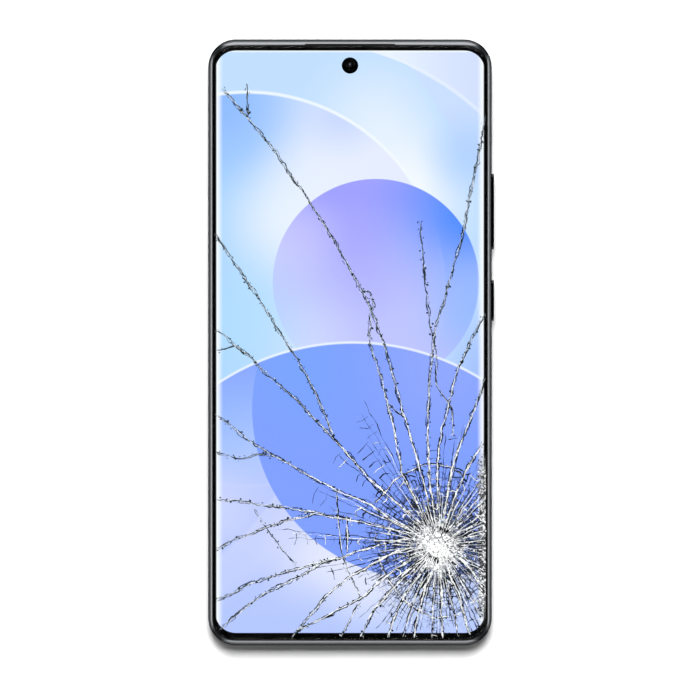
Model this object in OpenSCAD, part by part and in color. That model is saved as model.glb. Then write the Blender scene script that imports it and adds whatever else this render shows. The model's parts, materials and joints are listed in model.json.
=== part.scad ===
// Slab phone with a curved-edge screen, its cover glass shattered from one impact.
// It lies on its back: +Z out of the screen, +Y to the top edge, +X to the keys.
// Millimetres. z = 0 is the plane of the camera rings that it rests on.

/* [Body] */
// Width across the frame's sides
body_w = 75.8; // [70:0.1:92]
// Length from the bottom edge to the top edge
body_l = 162; // [134:1:196]
// Thickness from the rear cover to the flat of the screen
body_t = 8.4; // [8.2:0.1:10.5]
// Plan radius of the frame's corners
corner_r = 7.4; // [6.2:0.1:9]
// Radius that rounds the frame's long edges
rim_r = 2.5; // [2:0.1:3]
// Thickness of the frame's wall
frame_wall = 3; // [2.8:0.1:3.8]

/* [Screen] */
// Width of frame seen beside the glass
side_rim = 1.25; // [0.9:0.05:1.5]
// Width of frame seen above the glass
top_rim = 1.8; // [1.4:0.05:2.2]
// Width of frame seen below the glass
bottom_rim = 1.6; // [1.3:0.05:2.2]
// Thickness of the cover glass
glass_t = 0.7; // [0.5:0.01:0.85]
// Width of the bent strip along each side of the glass
bend_w = 3.15; // [2.2:0.05:4]
// Height that the bent strip falls
bend_drop = 0.9; // [0.6:0.05:1.1]
// Thickness of the display panel
panel_t = 0.75; // [0.6:0.01:0.9]
// Black border beside the lit picture
side_border = 0.7; // [0.5:0.05:1.5]
// Black border above the lit picture
top_border = 1.3; // [1:0.05:3]
// Black border below the lit picture
bottom_border = 1.85; // [1:0.05:4]
// Radius of the hole in the panel for the front camera
punch_r = 2.2; // [1.9:0.05:2.6]
// Distance from the top edge to the front camera
punch_drop = 7.1; // [6.6:0.1:8]

/* [Cracks] */
// Width of a through crack between two shards
crack_gap = 0.06; // [0.03:0.01:0.2]
// Radius of the crushed plug at the impact
crush_r = 6.2; // [4:0.1:8]

/* [Rear cover and cameras] */
// Thickness of the rear cover
rear_t = 0.8; // [0.6:0.05:1]
// Width of frame seen beside the rear cover
rear_rim = 1.3; // [1:0.05:1.6]
// Height that the camera rings stand off the rear cover
bump_h = 2; // [1.6:0.1:2.6]
// Height that the rings stand proud of the camera trim
ring_proud = 0.5; // [0.3:0.05:0.7]
// Width of the camera trim
trim_w = 34; // [33:0.5:36]
// Length of the camera trim
trim_l = 36; // [35:0.5:40]
// Gap from the frame's inner wall to the trim at the side
trim_side_gap = 1.4; // [1.2:0.1:3]
// Gap from the frame's inner wall to the trim at the top
trim_top_gap = 2; // [1.2:0.1:5]
// Distance between the lens centres
lens_pitch = 17; // [16:0.5:18]
// Radius of the main camera's lens barrel
barrel_r = 4.2; // [3.5:0.05:5.1]
// Radius of the wide camera's lens
wide_r = 3.4; // [2.8:0.1:4]
// Radius of the macro camera's lens
macro_r = 2; // [1.5:0.1:2.6]
// Focus travel of the main lens
focus_travel = 0.35; // [0.2:0.01:0.4]

/* [Keys] */
// Height that the keys stand out of the frame
key_proud = 0.6; // [0.4:0.05:1]
// Height of the keys across the frame
key_h = 2.3; // [1.8:0.1:2.6]
// Length of the power key
power_l = 10.8; // [9:0.1:14]
// Power key's centre above the middle of the phone
power_y = 11.2; // [8:0.1:13]
// Length of the volume rocker
volume_l = 20.1; // [17:0.1:24]
// Rocker's centre above the middle of the phone
volume_y = 35; // [32:0.1:38]
// Travel of the power key
key_travel = 0.25; // [0.15:0.01:0.3]

/* [Battery and boards] */
// Height of the gap that a battery may swell into
swell_gap = 0.5; // [0.4:0.05:0.8]
// Gap from the top edge to the battery
battery_top = 46; // [45:0.5:48]
// Gap from the bottom edge to the battery
battery_bottom = 35; // [34.5:0.5:38]
// Thickness of the circuit boards
board_t = 0.8; // [0.6:0.1:1]
// Height of the parts on a board's front side
front_part_h = 1.5; // [1.2:0.1:1.6]
// Height of a shield can
can_h = 1.5; // [1:0.1:1.6]

/* [Bottom edge] */
// Width inside the charging port's shell
port_w = 8.34; // [8.34]
// Height inside the charging port's shell
port_h = 2.56; // [2.56]
// Wall of the port's shell
port_wall = 0.3; // [0.25:0.05:0.35]
// Depth of the port
port_depth = 7.3; // [6.7:0.1:8]
// Width of the card tray
tray_w = 10.6; // [10.4:0.1:13]
// Length of the card tray
tray_l = 17; // [16.5:0.5:21]
// Thickness of the card tray
tray_t = 0.9; // [0.7:0.05:1]
// Card tray's centre left of the port
tray_x = 21; // [20:0.5:23]
// Radius of the eject pin's hole
eject_r = 0.45; // [0.4:0.05:0.5]

/* [Hidden] */
$fn = 48;
FIT = 0.05;             // glued or seated pieces, each side
SLIP = 0.08;            // a sliding piece in its slot, each side
LIFT = 0.05;            // a piece over the mid plate or under a cover
FAR = 300;              // reach of a block that only cuts
FRONT_GLUE = 0.1;
CLEAR_GLUE = 0.03;      // between the glass and the panel, left as a gap
REAR_GLUE = 0.15;
GRAPHITE_T = 0.1;
PLATE_T = 0.6;
FLEX_T = 0.15;

// Heights
z_top = bump_h + body_t;
z_panel1 = z_top - glass_t - CLEAR_GLUE;
z_panel0 = z_panel1 - panel_t;
z_plate1 = z_panel0 - GRAPHITE_T;
z_plate0 = z_plate1 - PLATE_T;
z_rear1 = bump_h + rear_t;
z_seat = z_rear1 + REAR_GLUE;
z_board1 = z_plate0 - front_part_h - LIFT;
z_board0 = z_board1 - board_t;

// Outline of the body, the glass, the panel and the cavity: [x0, x1, y0, y1, corner radius]
hw = body_w / 2;
hl = body_l / 2;
BODY = [-hw, hw, -hl, hl, corner_r];
glass_edge = [-hw + side_rim, hw - side_rim, -hl + bottom_rim, hl - top_rim, corner_r - side_rim];
GLASS = inset(glass_edge, FIT);
PANEL = [GLASS[0] + side_border, GLASS[1] - side_border, GLASS[2] + bottom_border,
    GLASS[3] - top_border, GLASS[4] - side_border];
REAR = inset(BODY, rear_rim + FIT);
CAVITY = inset(BODY, frame_wall);

// The bent strip of the glass is an arc about [bend_x, bend_z]
bend_r = (bend_w * bend_w + bend_drop * bend_drop) / (2 * bend_drop);
bend_x = GLASS[1] - bend_w;
bend_z = z_top - bend_r;

// The frame's long edges are arcs that meet the glass and the rear cover
rim_z1 = z_top - bend_drop - sqrt(rim_r * rim_r - pow(rim_r - side_rim, 2));
REAR_EDGE_R = 0.4;
rim_z0 = bump_h + REAR_EDGE_R + sqrt(rim_r * rim_r - pow(rim_r - rear_rim, 2));
key_z = (rim_z0 + rim_z1) / 2;

// Front camera
punch_y = hl - punch_drop;
PUNCH_LENS_R = 1.6;
PUNCH_MODULE = 6.2;

// Cameras and their trim
TRIM_R = 8;
trim_x1 = CAVITY[1] - trim_side_gap;
trim_y1 = CAVITY[3] - trim_top_gap;
TRIM = [trim_x1 - trim_w, trim_x1, trim_y1 - trim_l, trim_y1, TRIM_R];
RING_T = 1.3;
RING_DEPTH = 0.9;
LIP_T = 0.15;
LIP_W = 0.5;
LENS_COVER_T = 0.6;
big_x = TRIM[1] - 9;
small_x = big_x - lens_pitch + 1.5;
upper_y = TRIM[3] - 9.5;
lower_y = upper_y - lens_pitch;
big_hole = barrel_r + 0.6;
small_hole = macro_r + 0.7;
MAIN = [big_x, upper_y];
WIDE = [big_x, lower_y];
MACRO = [small_x, upper_y];
FLASH = [small_x, lower_y];
FLASH_R = 2.4;
RINGS = [[MAIN, big_hole], [WIDE, max(wide_r + 0.6, big_hole)], [MACRO, small_hole]];
FLANGE_W = 0.9;
FLANGE_T = 0.4;
z_flange = z_rear1 + FLANGE_T;
MAIN_HOUSING = 2 * barrel_r + 2.8;
WIDE_HOUSING = 2 * wide_r + 2.6;
MACRO_HOUSING = 2 * macro_r + 2;
barrel_z0 = RING_DEPTH + focus_travel + LIFT;
barrel_z1 = z_plate0 - 1.9;
camera_z1 = z_plate0 - LIFT;

// Main board: a block on the left and a strip below the cameras
BOARD_R = 0.8;
KEY_STACK = 2.6;                    // room for the keys' clips, domes, flex and bracket
BOARD_BLOCK = [CAVITY[0] + 0.7, TRIM[0] + 3, hl - battery_top + 1.5, hl - 11, BOARD_R];
BOARD_STRIP = [BOARD_BLOCK[1] - 2, CAVITY[1] - KEY_STACK, BOARD_BLOCK[2], lower_y - WIDE_HOUSING / 2 - 0.9, BOARD_R];
BOSS_R = 1.5;
SCREW_R = 0.7;
SCREW_HEAD_R = 1.25;
SCREW_HEAD_H = 0.4;
SCREW_SLIP = 0.02;
SCREW_L = 2.6;
COVER_PLATE_T = 0.55;
z_cover_plate = z_flange + SCREW_HEAD_H + 0.1;  // both brackets start here, their screws clear of the trim
z_boss = z_cover_plate + COVER_PLATE_T;
PLATE_AIR = 0.05;                  // least gap between a bracket and what stands above it
z_can = max(z_board0 - can_h, z_boss + PLATE_AIR);  // a thicker glass makes the cans lower
UPPER_SCREWS = [
    [BOARD_BLOCK[0] + 2.8, BOARD_BLOCK[3] - 3], [BOARD_BLOCK[0] + 2.8, BOARD_BLOCK[2] + 3],
    [BOARD_BLOCK[1] - 2.9, BOARD_BLOCK[3] - 3], [BOARD_BLOCK[1] - 2.9, BOARD_BLOCK[2] + 3],
];
SHIELD_W = BOARD_BLOCK[1] - BOARD_BLOCK[0] - 12;
shield_x = BOARD_BLOCK[0] + 5.6;
shield_y = BOARD_BLOCK[2] + 5.6;
SHIELD_L = BOARD_BLOCK[3] - BOARD_BLOCK[2] - 11.2;
SHIELD_SPLIT = 0.56;                // the processor's can takes this share of the row
SHIELD_GAP = 0.8;
CAN_T = 0.2;

// Battery
BATTERY_R = 2;
battery_z0 = z_rear1 + swell_gap;
battery_z1 = z_plate0 - 0.15;
BATTERY = [CAVITY[0] + 2.3, CAVITY[1] - KEY_STACK, -hl + battery_bottom, hl - battery_top, BATTERY_R];

// Bottom edge: sub board, port, card tray, loudspeaker, vibration motor
port_z = max(z_plate0 - 2.28, z_boss + PLATE_AIR + port_h / 2 + port_wall);
z_sub0 = z_plate0 - 1.35;
z_sub1 = z_sub0 + board_t;
tray_z = z_sub0 - 0.85;
TRAY_CX = -tray_x;
TRAY_HEAD_H = 2;
TRAY_HEAD_T = 1.2;
EJECT_SIDE = 1.3;                   // eject pin's centre beside the tray
TRAY_HEAD_LEFT = 0.6;
TRAY_HEAD_W = tray_w + TRAY_HEAD_LEFT + EJECT_SIDE + 1.1;
tray_x0 = TRAY_CX - tray_w / 2;
tray_x1 = TRAY_CX + tray_w / 2;
head_cx = tray_x0 - TRAY_HEAD_LEFT + TRAY_HEAD_W / 2;
eject_x = tray_x1 + EJECT_SIDE;
tray_y0 = -hl + TRAY_HEAD_T;        // back of the tray's head
tray_y1 = tray_y0 + tray_l;
CARD_W = 8.9;
CARD_L = 12.4;
READER_WALL = 0.3;
SUB_BOARD_GAP = 0.4;
SUB_BOARD = [CAVITY[0] + 0.7, 8.5, CAVITY[2] + SUB_BOARD_GAP, -hl + battery_bottom - 10, CAVITY[4] - SUB_BOARD_GAP];
LOWER_SCREWS = [
    [SUB_BOARD[0] + 2.5, SUB_BOARD[2] + 2.5], [SUB_BOARD[0] + 2.5, SUB_BOARD[3] - 2.5],
    [-6.9, SUB_BOARD[2] + 2.5], [6.5, SUB_BOARD[2] + 2.5], [6.1, SUB_BOARD[3] - 2.5],
    [CAVITY[1] - 3.2, -hl + battery_bottom - 3],
];
SPEAKER = [SUB_BOARD[1] + 0.8, CAVITY[1] - 1.2, CAVITY[2] + 1.4, -hl + battery_bottom - 5.2, 1.5];
GRILLE_R = 0.65;
GRILLE_PITCH = 2.3;
GRILLE_COUNT = 6;
grille_x = (SPEAKER[0] + SPEAKER[1]) / 2;
MIC_HOLE_R = 0.45;
BOTTOM_MIC_X = -10.9;
TOP_MIC_X = 17;
MOTOR = [10, 6, 3.6];
motor_x = SUB_BOARD[0] + 1;
motor_y = -hl + battery_bottom - 8;
motor_z = z_plate0 - LIFT - MOTOR[2];
MOTOR_WALL = 0.35;
HAPTIC_TRAVEL = 0.3;

// Keys, from the outside in
KEY_WALL = 1.5;                     // frame left behind a key's cap
KEY_GAP = 0.45;                     // cap to the pocket's floor
CLIP_T = 0.3;
STEM_H = 1.4;
STEM_L = 2.8;
key_floor_x = CAVITY[1] + KEY_WALL;
cap_x = key_floor_x + KEY_GAP;
clip_x = CAVITY[1] - LIFT - CLIP_T;
dome_x = clip_x - key_travel - 0.1;
DOME_H = 0.22;
DOME_R = 1.2;
KEY_BRACKET_T = 0.5;
VOLUME_STEMS = [-volume_l / 2 + 3, volume_l / 2 - 3];
FULCRUM_R = KEY_GAP - 0.02;
KEY_FLEX_H = 2.9;

// The crack map is drawn for this glass, and stretches with it
MAP_W = 73.2;
MAP_L = 158.5;
IMPACT = [23.6, -54];
// Cracks that part the glass, each from the glass's edge inwards
LONG_CRACKS = [
    [[-37.5, 71.8], [-27.2, 59.8], [-20.3, 51.3], [-11.2, 38.2], [-2.4, 23.8], [3.2, 13.7], [6.9, 6],
        [10.1, -4.2], [13.1, -14.6], [16, -25], [18.1, -31.9], [21.3, -43.4], [22.2, -49]],
    [[4.9, 10], [5.3, -0.1], [8.3, -9.5], [10.1, -16.7], [11.5, -21.8], [12.5, -27.9], [14.1, -35.1],
        [20.5, -49]],
    [[-37.5, 30.8], [-29.9, 19.8], [-24.3, 11.6], [-18.7, 2.5], [-13.9, -4.7], [-9.3, -13.2], [-4.3, -25.3]],
    [[-37.5, 5.2], [-30.9, -0.6], [-23.2, -7.6], [-14.4, -15.1], [-4.3, -25.6], [4.8, -36.2], [9.6, -40.2],
        [19, -50]],
    [[-37.5, -18.6], [-32.3, -21.8], [-19.6, -30.6], [-4.3, -39.1], [5.9, -43.5], [10.9, -47.4], [18, -51.6]],
    [[-37.5, -41.9], [-30.4, -42], [-16.5, -44.2], [-4.3, -46.6], [10.9, -49.8], [18, -52.6]],
    [[-37.5, -56.5], [-32.3, -53.2], [-22.7, -49.5], [-17.1, -47.6], [-9.3, -45.7]],
    [[-37.5, -69.5], [-26.7, -64.4], [-13.1, -60.2], [5.9, -54.6], [18, -53.6]],
    [[-36, -80], [-28.8, -71.4], [-19.2, -65.2], [-7.5, -58.8]],
    [[-17, -81], [-6.4, -67.6], [-0.3, -62.6], [10.9, -56.4], [18.4, -54.8]],
    [[-15.5, -80.2], [-9.3, -74.6], [2.7, -68.4], [9.1, -62.8], [19, -56]],
    [[2, -81], [5.9, -71.9], [10.4, -66.8], [19.9, -57.6]],
    [[9, -81], [13.1, -70.3], [16, -65.2], [21, -59]],
    [[17, -81], [18.1, -72.4], [20.3, -65.2], [22.4, -59.6]],
    [[24.8, -81], [24.3, -72.4], [24, -59.4]],
    [[33, -80.4], [29.3, -67.9], [25.6, -59]],
    [[37.6, -68], [31.5, -60.6], [27, -57.6]],
    [[37.6, -52], [28.4, -54]],
    [[37.6, -31], [31.5, -37], [27, -49.6]],
    [[37.6, -12], [33.1, -20.3], [29.9, -27.9], [25.9, -41.2], [25.2, -49]],
    [[37.6, 13], [33.1, 2.5], [28.8, -7.1], [26.4, -16.2], [23.7, -27.9], [23.8, -49]],
    [[37.6, 66], [33.9, 47.6], [29.9, 28.1], [24.8, 10.2], [22.7, 3.6], [21.1, -12.2], [20.8, -27.4],
        [22.9, -49]],
];
// Cracks that run round the impact: [radius, first angle, last angle]
RING_CRACKS = [[20.5, 52, 176], [12, 20, 248]];
RING_STEP = 12;

// An outline moved in by d on every side
function inset(o, d) = [o[0] + d, o[1] - d, o[2] + d, o[3] - d, max(o[4] - d, 0.2)];
// A point of the crack map on this glass
function on_glass(p) = [p[0] * (GLASS[1] - GLASS[0]) / MAP_W, p[1] * (GLASS[3] - GLASS[2]) / MAP_L];

// Flat rounded rectangle of an outline
module outline(o) {
    r = o[4];
    translate([o[0] + r, o[2]]) square([o[1] - o[0] - 2 * r, o[3] - o[2]]);
    translate([o[0], o[2] + r]) square([o[1] - o[0], o[3] - o[2] - 2 * r]);
    for (x = [o[0] + r, o[1] - r], y = [o[2] + r, o[3] - r]) translate([x, y]) circle(r);
}

// Slab of an outline between two heights
module slab(o, z0, z1) {
    translate([0, 0, z0]) linear_extrude(z1 - z0) outline(o);
}

// Plain block between two corners
module block(a, b) {
    translate(a) cube(b - a);
}

// Flat profile, x inwards from the edge and y up, run round an outline
module run_round(o) {
    r = o[4];
    w = o[1] - o[0] - 2 * r;
    l = o[3] - o[2] - 2 * r;
    for (s = [[o[1], (o[2] + o[3]) / 2, 0, l], [o[0], (o[2] + o[3]) / 2, 180, l],
            [(o[0] + o[1]) / 2, o[3], 90, w], [(o[0] + o[1]) / 2, o[2], -90, w]])
        translate([s[0], s[1], 0]) rotate([0, 0, s[2]])
            rotate([90, 0, 0]) linear_extrude(s[3], center = true) mirror([1, 0]) children();
    for (c = [[o[1] - r, o[3] - r, 0], [o[0] + r, o[3] - r, 90], [o[0] + r, o[2] + r, 180], [o[1] - r, o[2] + r, 270]])
        translate([c[0], c[1], 0]) rotate([0, 0, c[2]])
            rotate_extrude(angle = 90) translate([r, 0]) mirror([1, 0]) children();
}

// Slab whose lower or upper edge is rounded by e
module soft_slab(o, z0, z1, e, up = true) {
    slab(inset(o, e), z0, z1);
    run_round(o) {
        translate([0, up ? z0 : z0 + e]) square([e, z1 - z0 - e]);
        intersection() {
            translate([e, up ? z1 - e : z0 + e]) circle(e);
            translate([0, up ? z1 - e : z0]) square(e);
        }
    }
}

// Everything under the screen's bent surface, sunk by d
module under_bend(d) {
    rotate([90, 0, 0]) linear_extrude(FAR, center = true) {
        translate([-bend_x, -FAR]) square([2 * bend_x, FAR + z_top - d]);
        translate([-FAR, -FAR]) square([2 * FAR, FAR + bend_z]);
        for (s = [-1, 1]) translate([s * bend_x, bend_z]) circle(bend_r - d, $fn = 180);
    }
}

// A layer of the screen between two depths below its bent surface
module bent_layer(o, d0, d1) {
    intersection() {
        slab(o, bump_h, z_top + 1);
        difference() {
            under_bend(d0);
            under_bend(d1);
        }
    }
}

// Rod from a to b along one axis
module rod(a, b, r) {
    v = b - a;
    turn = v[0] != 0 ? [0, 90, 0] : v[1] != 0 ? [-90, 0, 0] : [0, 0, 0];
    translate(a) rotate(turn) cylinder(h = norm(v), r = r);
}

// Slot with round ends, run along Y: width w in X, height h in Z
module y_slot(c, w, h, y0, y1) {
    r = h / 2;
    translate([c[0], y1, c[1]]) rotate([90, 0, 0]) linear_extrude(y1 - y0) {
        square([w - h, h], center = true);
        for (s = [-1, 1]) translate([s * (w / 2 - r), 0]) circle(r);
    }
}

// Slot with round ends, run along X: length l in Y, height h in Z
module x_slot(y, z, l, h, x0, x1) {
    r = h / 2;
    translate([x0, y, z]) rotate([90, 0, 90]) linear_extrude(x1 - x0) {
        square([l - h, h], center = true);
        for (s = [-1, 1]) translate([s * (l / 2 - r), 0]) circle(r);
    }
}

// Thin strip that follows points [y, z], t thick and between two widths
module bent_strip(points, t, x0, x1) {
    n = len(points);
    translate([x0, 0, 0]) rotate([90, 0, 90]) linear_extrude(x1 - x0)
        polygon(concat(points, [for (i = [n - 1 : -1 : 0]) points[i] + [0, t]]));
}

// --- Screen ---

// One straight length of crack
module crack_run(a, b, w) {
    d = b - a;
    u = d / norm(d) * w / 2;
    n = [-u[1], u[0]];
    polygon([a - u + n, b + u + n, b + u - n, a - u - n]);
}

// Every crack as thin lines
module crack_lines() {
    hair = 0.02;
    offset(delta = (crack_gap - hair) / 2) {
        for (c = LONG_CRACKS, i = [1 : len(c) - 1])
            crack_run(on_glass(c[i - 1]), on_glass(c[i]), hair);
        for (c = RING_CRACKS, a = [c[1] : RING_STEP : c[2] - 1]) {
            next = min(a + RING_STEP, c[2]);
            crack_run(ring_point(c[0], a), ring_point(c[0], next), hair);
        }
        for (a = [0 : 24 : 359])
            crack_run(plug_point(a), plug_point(a + 24), hair);
    }
}
// A point of a ring crack, which wavers a little
function ring_point(r, a) = on_glass(IMPACT) + (r + 0.7 * sin(a * 5)) * [cos(a), sin(a)];
// A corner of the crushed plug
function plug_point(a) = on_glass(IMPACT) + crush_r * (1 + 0.12 * sin(a * 3.5)) * [cos(a), sin(a)];

module cover_glass() {
    color("lightblue", 0.4) difference() {
        intersection() {
            bent_layer(GLASS, 0, glass_t);
            soft_slab(GLASS, bump_h, z_top, bend_drop);
        }
        translate([0, 0, bump_h]) linear_extrude(body_t + 1) crack_lines();
    }
}

module display_panel() {
    color("cornflowerblue") difference() {
        bent_layer(PANEL, glass_t + CLEAR_GLUE, glass_t + CLEAR_GLUE + panel_t);
        rod([0, punch_y, 0], [0, punch_y, z_top], punch_r);
    }
}

module display_adhesive() {
    color("black") difference() {
        bent_layer(GLASS, glass_t, glass_t + FRONT_GLUE);
        slab(inset(PANEL, -FIT), 0, z_top + 1);
    }
}

module graphite_sheet() {
    sheet = [-bend_x + 0.5, bend_x - 0.5, PANEL[2] + 14, PANEL[3] - 1, 3];
    color("dimgray") difference() {
        slab(sheet, z_plate1, z_panel0);
        rod([0, punch_y, 0], [0, punch_y, z_top], punch_r);
        slab(inset(SENSOR, -0.3), 0, z_top);
    }
}

SENSOR = [-5, 5, -hl + 33, -hl + 43, 1];
module fingerprint_sensor() {
    color("darkslategray") {
        slab(SENSOR, z_plate0 + LIFT, z_panel0 - 0.02);
    }
}

// The tail folds under the panel's lower edge and drops through the mid plate
TAIL_W = 18;
tail_y = PANEL[2] + 11;
module display_flex() {
    z = z_plate1 - 0.25;
    color("darkorange") bent_strip(
        [[PANEL[2] + 1, z], [tail_y, z], [tail_y + 1.2, z_plate0 - 0.3], [tail_y + 4, z_plate0 - 0.3]],
        FLEX_T, -TAIL_W / 2, TAIL_W / 2 - 2);
}

// --- Frame ---

module frame_section() {
    depth = corner_r - 1;
    translate([0, rim_z0]) square([rim_r, rim_z1 - rim_z0]);
    for (z = [rim_z0, rim_z1]) translate([rim_r, z]) circle(rim_r);
    translate([rim_r, rim_z0 - rim_r]) square([depth - rim_r, rim_z1 - rim_z0 + 2 * rim_r]);
}

module frame_body() {
    depth = corner_r - 1;
    slab(inset(BODY, depth - 0.5), rim_z0 - rim_r, rim_z1 + rim_r);
    run_round(BODY) frame_section();
}

module screw_bosses() {
    for (p = concat(UPPER_SCREWS, LOWER_SCREWS)) rod([p[0], p[1], z_boss], [p[0], p[1], z_plate0 + 0.1], BOSS_R);
}

EAR_W = 24;
EAR_GAP = 0.5;
EARPIECE = [-17.5, -4.6, hl - 10.2, hl - frame_wall - 0.4, 1];
ear_x = (EARPIECE[0] + EARPIECE[1]) / 2;
module frame_openings() {
    // earpiece slit beside the glass, and its duct from the earpiece
    block([-EAR_W / 2, hl - top_rim - 0.1, z_plate0 - 0.2], [EAR_W / 2, hl - top_rim + EAR_GAP, z_top + 1]);
    block([ear_x - 3.5, CAVITY[3] - 0.1, z_plate0 - 1], [ear_x + 3.5, hl - top_rim + EAR_GAP, z_plate0]);
    // front camera, fingerprint sensor and the panel's tail through the mid plate
    rod([0, punch_y, z_plate0 - 1], [0, punch_y, z_top], punch_r - 0.2);
    slab(inset(SENSOR, -0.2), z_plate0 - 0.1, z_top);
    block([-TAIL_W / 2 - 0.5, PANEL[2], z_plate1 - 0.35], [TAIL_W / 2 + 0.5, tail_y + 1.6, z_top]);
    block([-TAIL_W / 2 - 0.5, tail_y - 0.6, z_plate0 - 1], [TAIL_W / 2 + 0.5, tail_y + 1.6, z_top]);
    // keys
    x_slot(power_y, key_z, power_l + 2 * SLIP, key_h + 2 * SLIP, key_floor_x, hw + 1);
    x_slot(power_y, key_z, STEM_L + 2 + 2 * SLIP, STEM_H + 2 * SLIP, CAVITY[1] - 1, hw);
    x_slot(volume_y, key_z, volume_l + 2 * SLIP + 0.06, key_h + 2 * SLIP, key_floor_x, hw + 1);
    for (s = VOLUME_STEMS)
        x_slot(volume_y + s, key_z, STEM_L + 2 * SLIP + 0.06, STEM_H + 2 * SLIP, CAVITY[1] - 1, hw);
    // charging port, card tray, loudspeaker grille and microphones
    y_slot([0, port_z], port_w + 2 * (port_wall + FIT), port_h + 2 * (port_wall + FIT), -hl - 1, CAVITY[2] + 1);
    y_slot([head_cx, tray_z], TRAY_HEAD_W + 2 * SLIP, TRAY_HEAD_H + 2 * SLIP, -hl - 1, tray_y0 + SLIP);
    block([tray_x0 - 0.35, -hl, tray_z - tray_t / 2 - 0.35], [eject_x + 0.7, CAVITY[2] + 1, tray_z + tray_t / 2 + 0.35]);
    for (i = [0 : GRILLE_COUNT - 1]) {
        x = grille_x + (i - (GRILLE_COUNT - 1) / 2) * GRILLE_PITCH;
        rod([x, -hl - 1, key_z], [x, CAVITY[2] + 1, key_z], GRILLE_R);
    }
    rod([BOTTOM_MIC_X, -hl - 1, key_z], [BOTTOM_MIC_X, CAVITY[2] + 1, key_z], MIC_HOLE_R);
    rod([TOP_MIC_X, CAVITY[3] - 1, key_z], [TOP_MIC_X, hl + 1, key_z], MIC_HOLE_R);
}

module mid_frame() {
    color("dimgray") difference() {
        union() {
            difference() {
                frame_body();
                difference() {
                    slab(glass_edge, bump_h, z_top + 2);
                    under_bend(glass_t + FRONT_GLUE);
                }
                difference() {
                    slab(inset(PANEL, -FIT), bump_h, z_top + 2);
                    under_bend(glass_t + CLEAR_GLUE + panel_t + GRAPHITE_T);
                }
                slab(inset(REAR, -FIT), 0, z_seat);
                slab(CAVITY, 0, z_plate0);
            }
            screw_bosses();
        }
        frame_openings();
        for (p = concat(UPPER_SCREWS, LOWER_SCREWS))
            rod([p[0], p[1], z_boss - 1], [p[0], p[1], z_boss + SCREW_L], SCREW_R + SCREW_SLIP);
    }
}

module earpiece_mesh() {
    color("black") block([-EAR_W / 2 + FIT, hl - top_rim + FIT, z_top - 1.5],
        [EAR_W / 2 - FIT, hl - top_rim + EAR_GAP - FIT, z_top - 1.2]);
}

// --- Front camera, earpiece, sensors ---

module front_camera() {
    h = PUNCH_MODULE / 2;
    color("black") {
        block([-h, punch_y - h, z_board0 - 1], [h, min(punch_y + h, CAVITY[3] - 0.3), z_plate0 - LIFT]);
        rod([0, punch_y, z_board0 - 0.5], [0, punch_y, z_panel1 - 0.15], PUNCH_LENS_R);
    }
}

module earpiece_speaker() {
    color("silver") difference() {
        slab(EARPIECE, z_plate0 - 3.2, z_plate0 - LIFT);
        block([ear_x - 3, EARPIECE[3] - 1.5, z_plate0 - 0.9], [ear_x + 3, hl, z_plate0 - 0.3]);
    }
}

module ambient_sensor() {
    color("darkslategray") block([6, CAVITY[3] - 2.8, z_plate0 - 1.2], [9, CAVITY[3] - 0.6, z_plate0 - LIFT]);
}

module microphones() {
    color("gold") {
        difference() {
            block([BOTTOM_MIC_X - 1.4, CAVITY[2] + 0.1, z_sub0 - 1], [BOTTOM_MIC_X + 1.4, CAVITY[2] + 3.6, z_sub0]);
            rod([BOTTOM_MIC_X, CAVITY[2], key_z], [BOTTOM_MIC_X, CAVITY[2] + 1, key_z], 0.3);
        }
        difference() {
            block([TOP_MIC_X - 1.4, CAVITY[3] - 2.2, key_z - 0.7], [TOP_MIC_X + 1.4, CAVITY[3] - 0.1, key_z + 0.7]);
            rod([TOP_MIC_X, CAVITY[3] - 1, key_z], [TOP_MIC_X, CAVITY[3], key_z], 0.3);
        }
    }
}

// --- Main board ---

module main_board() {
    color("darkgreen") difference() {
        union() {
            slab(BOARD_BLOCK, z_board0, z_board1);
            slab(BOARD_STRIP, z_board0, z_board1);
        }
        for (p = UPPER_SCREWS) rod([p[0], p[1], 0], [p[0], p[1], z_top], BOSS_R + 0.12);
    }
}

// [x, y, width, length, height] of each chip on the board's rear side, from the cans' corner
second_row = SHIELD_SPLIT * SHIELD_L + SHIELD_GAP + 1;
CHIPS = [[1, 1, 10, 10, 0.9], [13.4, 1, 6, 4.6, 0.8], [13.4, 6.4, 5, 4.6, 0.8],
    [1.4, second_row, 7, 6, 0.8], [10.4, second_row, 5, 4, 0.7]];
module board_chips() {
    color("black") for (c = CHIPS)
        translate([shield_x + c[0], shield_y + c[1], z_board0 - c[4]]) cube([c[2], c[3], c[4]]);
}

module can(x, y, w, l) {
    difference() {
        slab([x, x + w, y, y + l, 0.6], z_can, z_board0);
        slab([x + CAN_T, x + w - CAN_T, y + CAN_T, y + l - CAN_T, 0.4], z_can + CAN_T, z_board1);
    }
}

module shield_cans() {
    split = SHIELD_L * SHIELD_SPLIT;
    color("silver") {
        can(shield_x, shield_y, SHIELD_W, split);
        can(shield_x, shield_y + split + SHIELD_GAP, SHIELD_W, SHIELD_L - split - SHIELD_GAP);
    }
}

// Board-to-board plugs: battery and main flex on the board's strip
PLUG = [6, 2.4, 0.7];
battery_plug_x = BOARD_STRIP[1] - 9;
plug_y = BOARD_STRIP[2] + 3;
main_flex_x = TRIM[0] + 8;
module board_connectors() {
    color("tan") {
        for (x = [battery_plug_x, main_flex_x])
            translate([x - PLUG[0] / 2, plug_y - PLUG[1] / 2, z_board0 - PLUG[2]]) cube(PLUG);
        translate([-1, SUB_BOARD[3] - 4.4, z_sub0 - PLUG[2]]) cube([PLUG[0] - 1.5, PLUG[1], PLUG[2]]);
    }
}

module bracket_plate(o, screw_points) {
    difference() {
        slab(o, z_cover_plate, z_boss);
        for (p = screw_points) rod([p[0], p[1], 0], [p[0], p[1], z_top], SCREW_R + 0.1);
    }
}

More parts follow.
